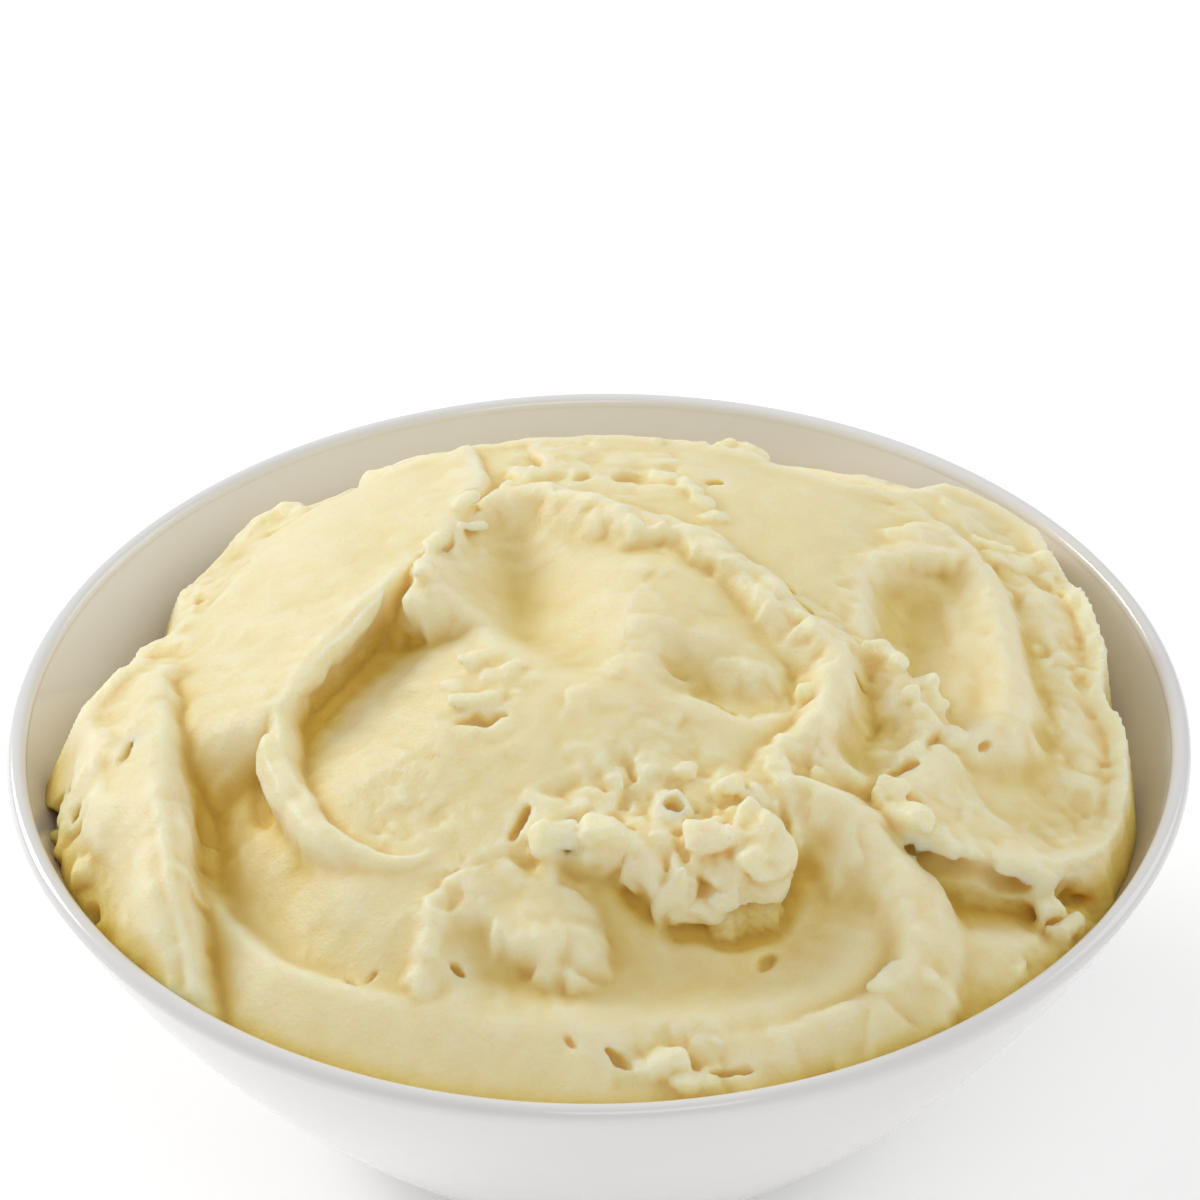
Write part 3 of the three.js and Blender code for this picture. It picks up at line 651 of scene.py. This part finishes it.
def wall_field(levels, radius):
    """Distance outside the bowl's inner wall pushed out a little, below 0 inside it."""
    here = inner_height(radius)
    slope = (inner_height(radius + WALL_STEP) - inner_height(radius - WALL_STEP)) / (2 * WALL_STEP)
    steep = np.sqrt(1 + slope ** 2)
    inside = (here / steep - WALL_PUSH)[:, :, None] - levels[None, None, :] / steep[:, :, None]
    beyond = (radius - INNER_RIM - WALL_PUSH)[:, :, None]
    return np.maximum(inside, beyond)


def lean_out(field, levels, x, y, height, torn, slopes, steep):
    """Leans steep sides out under their crests, and breaks them up from level to level."""
    broad = blurred(height, CREST_BLUR)
    down = np.hypot(*slopes)
    lean = (LEAN * np.clip((down - LEAN_FROM_SLOPE) / LEAN_OVER_SLOPE, 0, 1)).astype(np.float32)
    near = np.abs(levels[None, None, :] - height[:, :, None]) < LEAN_BAND
    i, j, k = np.nonzero(near & (down[:, :, None] > BREAK_FROM_SLOPE))
    rise = np.clip(levels[k] - broad[i, j], -LEAN_RISE, LEAN_RISE)
    places = (x[i, j], y[i, j], levels[k])
    wander = (BREAK + BREAK_TORN * torn[i, j]) * np.clip(down[i, j] - BREAK_FROM_SLOPE, 0, 1)
    from_x, from_y = (
        place[i, j] + lean[i, j] * rise * slope[i, j] + wander * shift
        for place, slope, shift in zip((x, y), slopes, uneven(places, *BREAK_SHIFTS))
    )
    field[i, j, k] = clipped((levels[k] - sample(height, from_x, from_y)) / steep[i, j])


def roughen(field, levels, x, y, torn):
    """Puts grain and crumble all round the surface, stronger where the mash is torn."""
    i, j, k = np.nonzero(np.abs(field) < ROUGH_BAND)
    places = (x[i, j], y[i, j], levels[k])
    grain = uneven(places, *GRAIN)[0]
    bent = [place + shift for place, shift in zip(places, uneven(places, *CRUMBLE_BEND))]
    crumble = terraces(uneven(bent, *CRUMBLE)[0], CRUMBLE_SHARPNESS) / CRUMBLE[0]
    torn_here = torn[i, j]
    field[i, j, k] -= (GRAIN_DEPTH + GRAIN_TORN * torn_here) * grain + CRUMBLE_TORN * torn_here * crumble


def mash_field(x, y, height, torn):
    """A level set of the mash: below 0 inside, with torn crests leaning out over their steep sides."""
    levels = (FIELD_LOW + np.arange(int((FIELD_HIGH - FIELD_LOW) / VOXEL)) * VOXEL).astype(np.float32)
    base = blurred(height, LEAN_BLUR)
    slopes = np.gradient(base, VOXEL)
    steep = np.sqrt(1 + slopes[0] ** 2 + slopes[1] ** 2)
    field = (levels[None, None, :] - height[:, :, None]) / steep[:, :, None]
    np.clip(field, -FIELD_REACH, FIELD_REACH, out=field)
    lean_out(field, levels, x, y, height, torn, slopes, steep)
    origin = (x[0, 0], y[0, 0], levels[0])
    for seed, (centre, sizes, angles) in enumerate(broken_pieces(height, torn), CHUNK_SEED):
        add_chunk(field, origin, centre, sizes, angles, seed)
    for pit_x, pit_y, depth, length, width, turn in PITS:
        dig_pit(field, origin, (pit_x, pit_y, level_at(base, pit_x, pit_y)), depth, length, width, turn)
    dig_groove(field, origin, UNDERCUT, UNDERCUT_RADIUS)
    roughen(field, levels, x, y, torn)
    np.maximum(field, wall_field(levels, np.hypot(x, y)), out=field)
    return field, levels


def rotation(*degrees):
    """Rows are the axes of a piece turned about Z, then pitched and rolled."""
    cz, cp, cr = (math.cos(math.radians(angle)) for angle in degrees)
    sz, sp, sr = (math.sin(math.radians(angle)) for angle in degrees)
    about_z = np.array([[cz, sz, 0], [-sz, cz, 0], [0, 0, 1]])
    about_y = np.array([[cp, 0, sp], [0, 1, 0], [-sp, 0, cp]])
    about_x = np.array([[1, 0, 0], [0, cr, sr], [0, -sr, cr]])
    return about_x @ about_y @ about_z


def block_of(field, origin, centre, reach):
    """The part of the field near a place: its slices and the places of its voxels from the centre."""
    slices = []
    places = []
    for axis, half in enumerate(np.broadcast_to(reach, 3)):
        low = max(0, int((centre[axis] - half - origin[axis]) / VOXEL))
        high = min(field.shape[axis], int((centre[axis] + half - origin[axis]) / VOXEL) + 2)
        slices.append(slice(low, high))
        places.append(origin[axis] + np.arange(low, high) * VOXEL - centre[axis])
    return tuple(slices), np.meshgrid(*places, indexing="ij")


def add_chunk(field, origin, centre, sizes, angles, seed):
    """Joins a broken block, with corners knocked off and worn edges, to the mash."""
    slices, offsets = block_of(field, origin, centre, 0.5 * math.hypot(*sizes) + CHUNK_MARGIN)
    least = min(sizes)
    shifted = [offset + BLOCK_SHIFT for offset in offsets]
    worn = [
        offset + CHUNK_WEAR * least * layered_noise(shifted, CHUNK_WEAR_SIZE * least + 1.0, 3, seed + n)
        for n, offset in enumerate(offsets)
    ]
    axes = rotation(*angles)
    along = [sum(axes[axis][n] * worn[n] for n in range(3)) for axis in range(3)]
    corner = CHUNK_CORNER * least
    over = [np.abs(value) - (0.5 * size - corner) for value, size in zip(along, sizes)]
    outside = np.sqrt(sum(np.maximum(value, 0) ** 2 for value in over))
    distance = outside + np.minimum(np.maximum.reduce(over), 0) - corner
    rng = np.random.default_rng(seed)
    for _ in range(CHUNK_CUTS):
        normal = rng.normal(size=3)
        normal /= np.linalg.norm(normal)
        depth = sum(0.5 * abs(part) * size for part, size in zip(normal, sizes)) * rng.uniform(*CUT_DEPTHS)
        cut = sum(part * value for part, value in zip(normal, along)) - depth
        distance = smooth_max(distance, cut, CUT_BLEND)
    field[slices] = smooth_min(field[slices], clipped(distance), CHUNK_BLEND)


def dig_pit(field, origin, centre, depth, length, width, turn):
    """Takes an uneven hole out of the mash."""
    slices, offsets = block_of(field, origin, centre, 0.5 * max(length, width) + depth + PIT_MARGIN)
    shifted = [offset + BLOCK_SHIFT for offset in offsets]
    seed = int(PIT_SEED_STEP * length + depth)
    wobble = PIT_WOBBLE * width * noise(shifted, PIT_WOBBLE_SIZE * width + 0.5, seed)
    cz, sz = math.cos(math.radians(turn)), math.sin(math.radians(turn))
    along = (cz * offsets[0] + sz * offsets[1] + wobble) / (0.5 * length)
    across = (cz * offsets[1] - sz * offsets[0] + wobble) / (0.5 * width)
    down = offsets[2] / depth
    size = np.sqrt(along ** 2 + across ** 2 + down ** 2) + TINY
    field[slices] = smooth_max(field[slices], clipped(-(size - 1) * 0.5 * width), PIT_BLEND)


def dig_groove(field, origin, path, radius):
    """Takes a round groove along a path out of the mash."""
    points = np.array(smooth_path(path))
    low = points.min(axis=0) - radius - UNDERCUT_MARGIN
    high = points.max(axis=0) + radius + UNDERCUT_MARGIN
    middle = (low + high) / 2
    slices, offsets = block_of(field, origin, middle, (high - low) / 2)
    places = [offset + middle[axis] for axis, offset in enumerate(offsets)]
    nearest = np.full(places[0].shape, FAR)
    for start, end in zip(points, points[1:]):
        along = end - start
        share = sum((place - a) * d for place, a, d in zip(places, start, along)) / (along @ along)
        share = np.clip(share, 0, 1)
        away = sum((place - a - share * d) ** 2 for place, a, d in zip(places, start, along))
        nearest = np.minimum(nearest, np.sqrt(away))
    shifted = [place + GROOVE_SHIFT for place in places]
    wobble = UNDERCUT_WOBBLE * noise(shifted, UNDERCUT_WOBBLE_SIZE * radius, UNDERCUT_SEED)
    field[slices] = smooth_max(field[slices], clipped(radius * (1 + wobble) - nearest), UNDERCUT_BLEND)


def broken_pieces(height, torn):
    """The chunks to join to the mash: centres, sizes and angles, the listed ones first."""
    pieces = []
    for x, y, lift, length, width, thickness, turn, pitch, roll in CHUNKS:
        level = level_at(height, x, y) + lift
        pieces.append(((x, y, level), (length, width, thickness), (turn, pitch, roll)))
    rng = np.random.default_rng(SCATTER_SEED)
    tries = rng.uniform(-SCATTER_HALF, SCATTER_HALF, (SCATTER_TRIES, 2))
    chances = rng.uniform(0, 1, SCATTER_TRIES)
    roughness = sample(torn, tries[:, 0], tries[:, 1])
    levels = sample(height, tries[:, 0], tries[:, 1])
    least, most = LOOSE_SIZES
    for place in np.nonzero(chances < SCATTER_CHANCE * roughness ** 2)[0][:LOOSE_CHUNKS]:
        size = least + (most - least) * roughness[place] * rng.uniform(0, 1) ** SMALL_BIAS
        sizes = tuple(size * rng.uniform(*shape) for shape in LOOSE_SHAPES)
        lift = rng.uniform(*LOOSE_LIFTS) * sizes[2]
        angles = tuple(rng.uniform(*limits) for limits in LOOSE_ANGLES)
        pieces.append(((tries[place, 0], tries[place, 1], levels[place] + lift), sizes, angles))
    return pieces


def closeness(field, levels, x, y, radius):
    """How much of the room round each voxel is filled by mash or bowl, from 0 to 1."""
    low = int((SHADE_LOW - FIELD_LOW) / VOXEL)
    walls = (wall_field(levels[low:], np.hypot(x, y)) > 0) & (levels[None, None, low:] < 0)
    filled = np.maximum(np.clip(HALF_FULL - field[:, :, low:] / VOXEL, 0, 1), walls)
    return box_blurred(filled.astype(np.float32), radius, 2, np.float32)


def sample_solid(grid, origin, places):
    """Reads a 3-D grid between its points."""
    steps = [(places[:, axis] - origin[axis]) / VOXEL for axis in range(3)]
    steps = [np.clip(step, 0, size - LAST_CELL) for step, size in zip(steps, grid.shape)]
    lows = [step.astype(int) for step in steps]
    shares = [step - low for step, low in zip(steps, lows)]
    total = 0.0
    for corner in itertools.product((0, 1), repeat=3):
        weight = 1.0
        for share, bit in zip(shares, corner):
            weight = weight * (share if bit else 1 - share)
        total = total + weight * grid[tuple(low + bit for low, bit in zip(lows, corner))]
    return total


def polygonise(field, low_corner):
    """The surface where the field is 0, as points, triangles and quads."""
    grid = openvdb.FloatGrid(FIELD_REACH)
    grid.copyFromArray(np.ascontiguousarray(field))
    points, triangles, quads = grid.convertToPolygons(isovalue=0.0, adaptivity=0.0)
    points = np.asarray(points, np.float64) * VOXEL + np.array(low_corner)
    return points, np.asarray(triangles), np.asarray(quads)


def mesh_from(name, points, faces):
    """A smooth-shaded mesh object from millimetre points over the foot's plane."""
    mesh = bpy.data.meshes.new(name)
    mesh.from_pydata((np.asarray(points) * MM).tolist(), [], [list(map(int, face)) for face in faces])
    mesh.polygons.foreach_set("use_smooth", [True] * len(mesh.polygons))
    piece = bpy.data.objects.new(name, mesh)
    bpy.context.scene.collection.objects.link(piece)
    return piece


def main_island(piece):
    """Takes away every loose bit but the largest."""
    model = bmesh.new()
    model.from_mesh(piece.data)
    left = set(model.verts)
    islands = []
    while left:
        seed = left.pop()
        island = [seed]
        front = [seed]
        while front:
            vertex = front.pop()
            for edge in vertex.link_edges:
                other = edge.other_vert(vertex)
                if other in left:
                    left.remove(other)
                    island.append(other)
                    front.append(other)
        islands.append(island)
    islands.sort(key=len)
    for island in islands[:-1]:
        bmesh.ops.delete(model, geom=island, context="VERTS")
    bmesh.ops.recalc_face_normals(model, faces=model.faces)
    model.to_mesh(piece.data)
    model.free()


def applied(piece):
    """Bakes the piece's modifiers into its mesh."""
    depsgraph = bpy.context.evaluated_depsgraph_get()
    mesh = bpy.data.meshes.new_from_object(piece.evaluated_get(depsgraph))
    piece.modifiers.clear()
    piece.data = mesh


def decimated(piece, triangles):
    """Brings the piece down to this many triangles."""
    piece.data.calc_loop_triangles()
    have = len(piece.data.loop_triangles)
    if have <= triangles:
        return
    modifier = piece.modifiers.new("fewer", "DECIMATE")
    modifier.ratio = triangles / have
    applied(piece)


def make_mash():
    x, y = plan_grid()
    height, torn = main_form(x, y)
    slope = np.hypot(*np.gradient(blurred(height, CALM_BLUR), VOXEL))
    calm = np.clip(CALM_START - CALM_PER_SLOPE * slope, CALM_LEAST, 1)
    height = (height + calm * relief(x, y, torn)).astype(np.float32)
    torn = torn.astype(np.float32)
    field, levels = mash_field(x.astype(np.float32), y.astype(np.float32), height, torn)
    corner = (x[0, 0], y[0, 0], float(levels[0]) + BOWL_HEIGHT)
    points, triangles, quads = polygonise(field, corner)
    piece = mesh_from("mash_body", points, list(quads) + list(triangles))
    main_island(piece)
    decimated(piece, MOST_TRIANGLES)
    colour_maps(piece, field, levels, height, torn, x, y)
    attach(piece, "root")
    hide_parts("mash")
    piece.data.materials.append(mash_material())


def sky_share(height, x, y):
    """How much of the sky each place on the plan sees over the mash and the bowl, from 0 to 1."""
    radius = np.hypot(x, y)
    bowl = np.where(radius < INNER_RIM, inner_height(radius), 0)
    ground = np.maximum(height, bowl).astype(np.float32)
    total = np.zeros(ground.shape, np.float32)
    for turn in np.arange(SKY_DIRECTIONS) * 2 * math.pi / SKY_DIRECTIONS:
        steepest = np.zeros(ground.shape, np.float32)
        for distance in SKY_DISTANCES:
            beyond = sample(ground, x + distance * math.cos(turn), y + distance * math.sin(turn))
            steepest = np.maximum(steepest, (beyond - ground) / distance)
        total += 1 / (1 + steepest ** 2)
    return total / SKY_DIRECTIONS


def colour_maps(piece, field, levels, height, torn, x, y):
    """Stores how torn, how sunk and how creased each point is, for the material, which paints shade into the
    sunk and creased places.
    """
    mesh = piece.data
    mesh.polygons.foreach_set("use_smooth", [True] * len(mesh.polygons))
    places = np.empty(len(mesh.vertices) * 3)
    mesh.vertices.foreach_get("co", places)
    places = places.reshape(-1, 3) / MM - [0, 0, BOWL_HEIGHT]
    plan_x, plan_y = places[:, 0], places[:, 1]
    sky = sky_share(blurred(height, SKY_BLURS[0]), x, y)
    sky = sample(blurred(sky, SKY_BLURS[1]), plan_x, plan_y)
    origin = (x[0, 0], y[0, 0], SHADE_LOW)
    wide, near = (
        sample_solid(closeness(field, levels, x, y, radius), origin, places) for radius in ROOM_RADII
    )
    # The hollow and crease maps mark where shade is painted into the mash's colour
    hollow = np.clip(HOLLOW_BY_SKY * (1 - sky) + HOLLOW_BY_ROOM * (wide - HALF_FULL), 0, 1)
    crease = np.clip(HALF_FULL + CREASE_BY_ROOM * (near - HALF_FULL), 0, 1)
    for name, values in (("torn", sample(torn, plan_x, plan_y)), ("hollow", hollow), ("crease", crease)):
        layer = mesh.attributes.new(name, "FLOAT", "POINT")
        layer.data.foreach_set("value", values.astype(np.float32))


# Bowl

def inner_profile(steps):
    points = []
    for i in range(steps + 1):
        radius = INNER_RIM * math.sqrt(max(1 - (i / steps) ** 2, 0))
        points.append((radius, float(inner_height(np.array([radius]))[0]) + BOWL_HEIGHT))
    return points


def outer_profile(steps):
    top = BOWL_HEIGHT - LIP_RADIUS
    points = []
    for i in range(steps):
        height = FOOT_HEIGHT + (top - FOOT_HEIGHT) * (i / steps) ** OUTER_STEP_POWER
        depth = top - height
        points.append((RIM_RADIUS - WALL_LEAN * depth - OUTER_CURVE * depth * depth, height))
    return points


def lip_profile(steps):
    points = []
    for i in range(steps):
        turn = math.pi * i / steps
        radius = RIM_RADIUS - LIP_RADIUS + LIP_RADIUS * math.cos(turn)
        points.append((radius, BOWL_HEIGHT - LIP_RADIUS + LIP_RADIUS * math.sin(turn)))
    return points


def foot_profile():
    inside = FOOT_RADIUS - FOOT_RING_WIDTH
    return [
        (0, FOOT_RECESS), (inside - FOOT_RECESS - RECESS_BEND, FOOT_RECESS),
        (inside - FOOT_RECESS, FOOT_RECESS - RECESS_DIP),
        (inside - RING_BEVEL, FOOT_EDGE + RING_BEVEL_HEIGHT), (inside, FOOT_EDGE),
        (inside + FOOT_EDGE, 0), (FOOT_RADIUS - FOOT_EDGE, 0), (FOOT_RADIUS, FOOT_EDGE),
        (FOOT_RADIUS + FOOT_EDGE * FOOT_FLARE, FOOT_HEIGHT - FOOT_WAIST),
        (FOOT_RADIUS + FOOT_EDGE, FOOT_HEIGHT - FOOT_EDGE),
    ]


def make_bowl():
    """The bowl, turned from the foot's middle up the outside, over the lip and down to the floor's middle."""
    outside = foot_profile() + outer_profile(OUTER_STEPS)
    profile = outside + lip_profile(LIP_STEPS) + inner_profile(INNER_STEPS)
    rings = profile[1:-1]
    points = [(0, 0, profile[0][1])]
    for radius, height in rings:
        for k in range(SEGMENTS):
            turn = 2 * math.pi * k / SEGMENTS
            points.append((radius * math.cos(turn), radius * math.sin(turn), height))
    points.append((0, 0, profile[-1][1]))
    last = len(points) - 1
    top = last - SEGMENTS
    faces = []
    for k in range(SEGMENTS):
        following = (k + 1) % SEGMENTS
        faces.append((0, 1 + following, 1 + k))
        for low in range(1, top, SEGMENTS):
            high = low + SEGMENTS
            faces.append((low + k, low + following, high + following, high + k))
        faces.append((top + k, top + following, last))
    piece = mesh_from("bowl_shell", points, faces)
    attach(piece, "root")
    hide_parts("bowl")
    piece.data.materials.append(porcelain_material())


# Materials

# Ramps: positions and colours. The mash's first two run over a pattern, and the others multiply them, as
# painted shade that darkens and yellows its hollows and creases.
CREAM = [(0.3, (0.895, 0.815, 0.55)), (0.7, (0.92, 0.845, 0.605))]
TORN_CREAM = [(0.35, (0.905, 0.83, 0.575)), (0.7, (0.94, 0.88, 0.665))]
# Painted shade: the mash's hollows darker and deeper yellow, where shade and bounced light fall
HOLLOW_SHADE = [
    (0.1, (1.0, 1.0, 1.0)), (0.3, (0.98, 0.955, 0.88)), (0.5, (0.93, 0.855, 0.60)),
    (0.75, (0.84, 0.69, 0.27)),
]
# Painted shade: the mash's creases darker and yellower, where shade falls
CREASE_SHADE = [
    (0.4, (1.0, 1.0, 1.0)), (0.55, (0.99, 0.975, 0.93)), (0.7, (0.97, 0.91, 0.70)),
    (0.9, (0.93, 0.80, 0.45)),
]
GLAZE = [(0.3, (0.81, 0.80, 0.79)), (0.7, (0.83, 0.82, 0.81))]
FLOOR_SHADES = [(0.3, (0.95, 0.95, 0.95)), (0.7, (0.97, 0.97, 0.97))]
# Patterns: a noise texture's scale, detail and roughness
CREAM_PATTERN = (45, 4, 0.6)
TORN_PATTERN = (260, 3, 0.6)
COARSE_GRAIN = (380, 3, 0.6)
FINE_GRAIN = (1100, 2, 0.65)
GLAZE_PATTERN = (14, 3, 0.5)
GLAZE_WAVES = (22, 2, 0.5)
FLOOR_PATTERN = (2.0, 2, 0.5)
# Bumps: strength and distance in metres
COARSE_BUMP = (0.5, 0.0007)
FINE_BUMP = (0.5, 0.0004)
WAVES_BUMP = (0.08, 0.0015)


def new_material(name, settings):
    material = bpy.data.materials.new(name)
    material.use_nodes = True
    shader = material.node_tree.nodes["Principled BSDF"]
    set_inputs(shader, settings)
    return material, material.node_tree, shader


def set_inputs(node, settings):
    for name, value in settings.items():
        node.inputs[name].default_value = value


def pattern_node(tree, pattern):
    coordinates = tree.nodes.new("ShaderNodeTexCoord")
    node = tree.nodes.new("ShaderNodeTexNoise")
    set_inputs(node, dict(zip(("Scale", "Detail", "Roughness"), pattern)))
    tree.links.new(coordinates.outputs["Object"], node.inputs["Vector"])
    return node.outputs["Fac"]


def bump_node(tree, pattern, bump, under=None):
    height = pattern_node(tree, pattern)
    node = tree.nodes.new("ShaderNodeBump")
    set_inputs(node, dict(zip(("Strength", "Distance"), bump)))
    tree.links.new(height, node.inputs["Height"])
    if under is not None:
        tree.links.new(under, node.inputs["Normal"])
    return node.outputs["Normal"]


def ramp_node(tree, factor, stops):
    node = tree.nodes.new("ShaderNodeValToRGB")
    ramp = node.color_ramp
    while len(ramp.elements) < len(stops):
        ramp.elements.new(0.5)
    for element, (position, colour) in zip(ramp.elements, stops):
        element.position = position
        element.color = (*colour, 1)
    tree.links.new(factor, node.inputs["Fac"])
    return node.outputs["Color"]


def mix_node(tree, first, second, blend_type, factor=None):
    node = tree.nodes.new("ShaderNodeMix")
    node.data_type = "RGBA"
    node.blend_type = blend_type
    node.inputs["Factor"].default_value = 1.0
    if factor is not None:
        tree.links.new(factor, node.inputs["Factor"])
    tree.links.new(first, node.inputs["A"])
    tree.links.new(second, node.inputs["B"])
    return node.outputs["Result"]


def attribute_node(tree, name):
    node = tree.nodes.new("ShaderNodeAttribute")
    node.attribute_name = name
    return node.outputs["Fac"]


def mash_material():
    material, tree, shader = new_material("mash", {
        "Roughness": 0.5, "Specular IOR Level": 0.3, "Subsurface Weight": 0.9,
        "Subsurface Radius": (1.0, 0.7, 0.3), "Subsurface Scale": 0.006,
    })
    cream = ramp_node(tree, pattern_node(tree, CREAM_PATTERN), CREAM)
    paler = ramp_node(tree, pattern_node(tree, TORN_PATTERN), TORN_CREAM)
    colour = mix_node(tree, cream, paler, "MIX", attribute_node(tree, "torn"))
    # Painted shade multiplied over the cream: darker and yellower in hollows and creases
    for name, stops in (("hollow", HOLLOW_SHADE), ("crease", CREASE_SHADE)):
        painted_shade = ramp_node(tree, attribute_node(tree, name), stops)
        colour = mix_node(tree, colour, painted_shade, "MULTIPLY")
    tree.links.new(colour, shader.inputs["Base Color"])
    coarse = bump_node(tree, COARSE_GRAIN, COARSE_BUMP)
    fine = bump_node(tree, FINE_GRAIN, FINE_BUMP, coarse)
    tree.links.new(fine, shader.inputs["Normal"])
    return material


def porcelain_material():
    material, tree, shader = new_material("porcelain", {
        "Roughness": 0.16, "Specular IOR Level": 0.5, "Coat Weight": 0.35, "Coat Roughness": 0.06,
    })
    glaze = ramp_node(tree, pattern_node(tree, GLAZE_PATTERN), GLAZE)
    tree.links.new(glaze, shader.inputs["Base Color"])
    tree.links.new(bump_node(tree, GLAZE_WAVES, WAVES_BUMP), shader.inputs["Normal"])
    return material


def floor_material():
    material, tree, shader = new_material("floor", {
        "Roughness": 0.9, "Specular IOR Level": 0.1, "Emission Color": (1.0, 1.0, 1.0, 1),
        "Emission Strength": 0.16,
    })
    shade = ramp_node(tree, pattern_node(tree, FLOOR_PATTERN), FLOOR_SHADES)
    tree.links.new(shade, shader.inputs["Base Color"])
    return material


# Stage, light and camera

CAMERA_ELEVATION = math.radians(37.37)
CAMERA_DISTANCE = 0.8
CAMERA_ROLL = math.radians(-0.72)
LOOK_AT = Vector((0.00052, 0, BOWL_HEIGHT * MM + 0.02417))
LENS_WIDTHS = 3.9326  # focal length in sensor widths
SENSOR = 36.0
FLOOR_HALF = 12.0
WORLD_STRENGTH = 0.52
LIGHT_TARGET = (0, 0, 0.08)
# Soft square lights: name, place, side, power and colour
LIGHTS = [
    ["key", (-0.78, 0.55, 0.56), 0.4, 5.1, (1.0, 0.99, 0.975)],
    ["right", (0.85, 0.4, 0.7), 0.6, 2.0, (1.0, 1.0, 1.0)],
    ["front", (0.15, -0.75, 1.15), 0.6, 2.2, (1.0, 1.0, 1.0)],
]


def make_floor():
    corners = [(-1, -1), (1, -1), (1, 1), (-1, 1)]
    mesh = bpy.data.meshes.new("floor")
    mesh.from_pydata([(x * FLOOR_HALF, y * FLOOR_HALF, 0) for x, y in corners], [], [(0, 1, 2, 3)])
    floor = bpy.data.objects.new("floor", mesh)
    bpy.context.scene.collection.objects.link(floor)
    mesh.materials.append(floor_material())


def make_world():
    world = bpy.data.worlds.new("studio")
    world.use_nodes = True
    set_inputs(world.node_tree.nodes["Background"], {"Color": (1.0, 1.0, 1.0, 1), "Strength": WORLD_STRENGTH})
    bpy.context.scene.world = world


def make_lights():
    for name, place, side, power, colour in LIGHTS:
        light = bpy.data.lights.new(name, "AREA")
        light.shape = "RECTANGLE"
        light.size = side
        light.size_y = side
        light.energy = power
        light.color = colour
        lamp = bpy.data.objects.new(name, light)
        bpy.context.scene.collection.objects.link(lamp)
        lamp.location = place
        lamp.rotation_euler = (Vector(LIGHT_TARGET) - Vector(place)).to_track_quat("-Z", "Y").to_euler()


def make_camera():
    data = bpy.data.cameras.new("camera")
    data.sensor_width = SENSOR
    data.lens = LENS_WIDTHS * SENSOR
    camera = bpy.data.objects.new("camera", data)
    bpy.context.scene.collection.objects.link(camera)
    away = Vector((0, -math.cos(CAMERA_ELEVATION), math.sin(CAMERA_ELEVATION)))
    place = Vector((0, 0, BOWL_HEIGHT * MM)) + CAMERA_DISTANCE * away
    forward = (LOOK_AT - place).normalized()
    right = forward.cross(Vector((0, 0, 1))).normalized()
    up = right.cross(forward)
    turned_right = right * math.cos(CAMERA_ROLL) + up * math.sin(CAMERA_ROLL)
    turned_up = up * math.cos(CAMERA_ROLL) - right * math.sin(CAMERA_ROLL)
    axes = Matrix((turned_right, turned_up, -forward)).transposed()
    camera.matrix_world = Matrix.Translation(place) @ axes.to_4x4()
    bpy.context.scene.camera = camera


make_camera()
make_world()
make_lights()
make_floor()
make_bowl()
make_mash()
bpy.context.scene.view_settings.view_transform = "Standard"
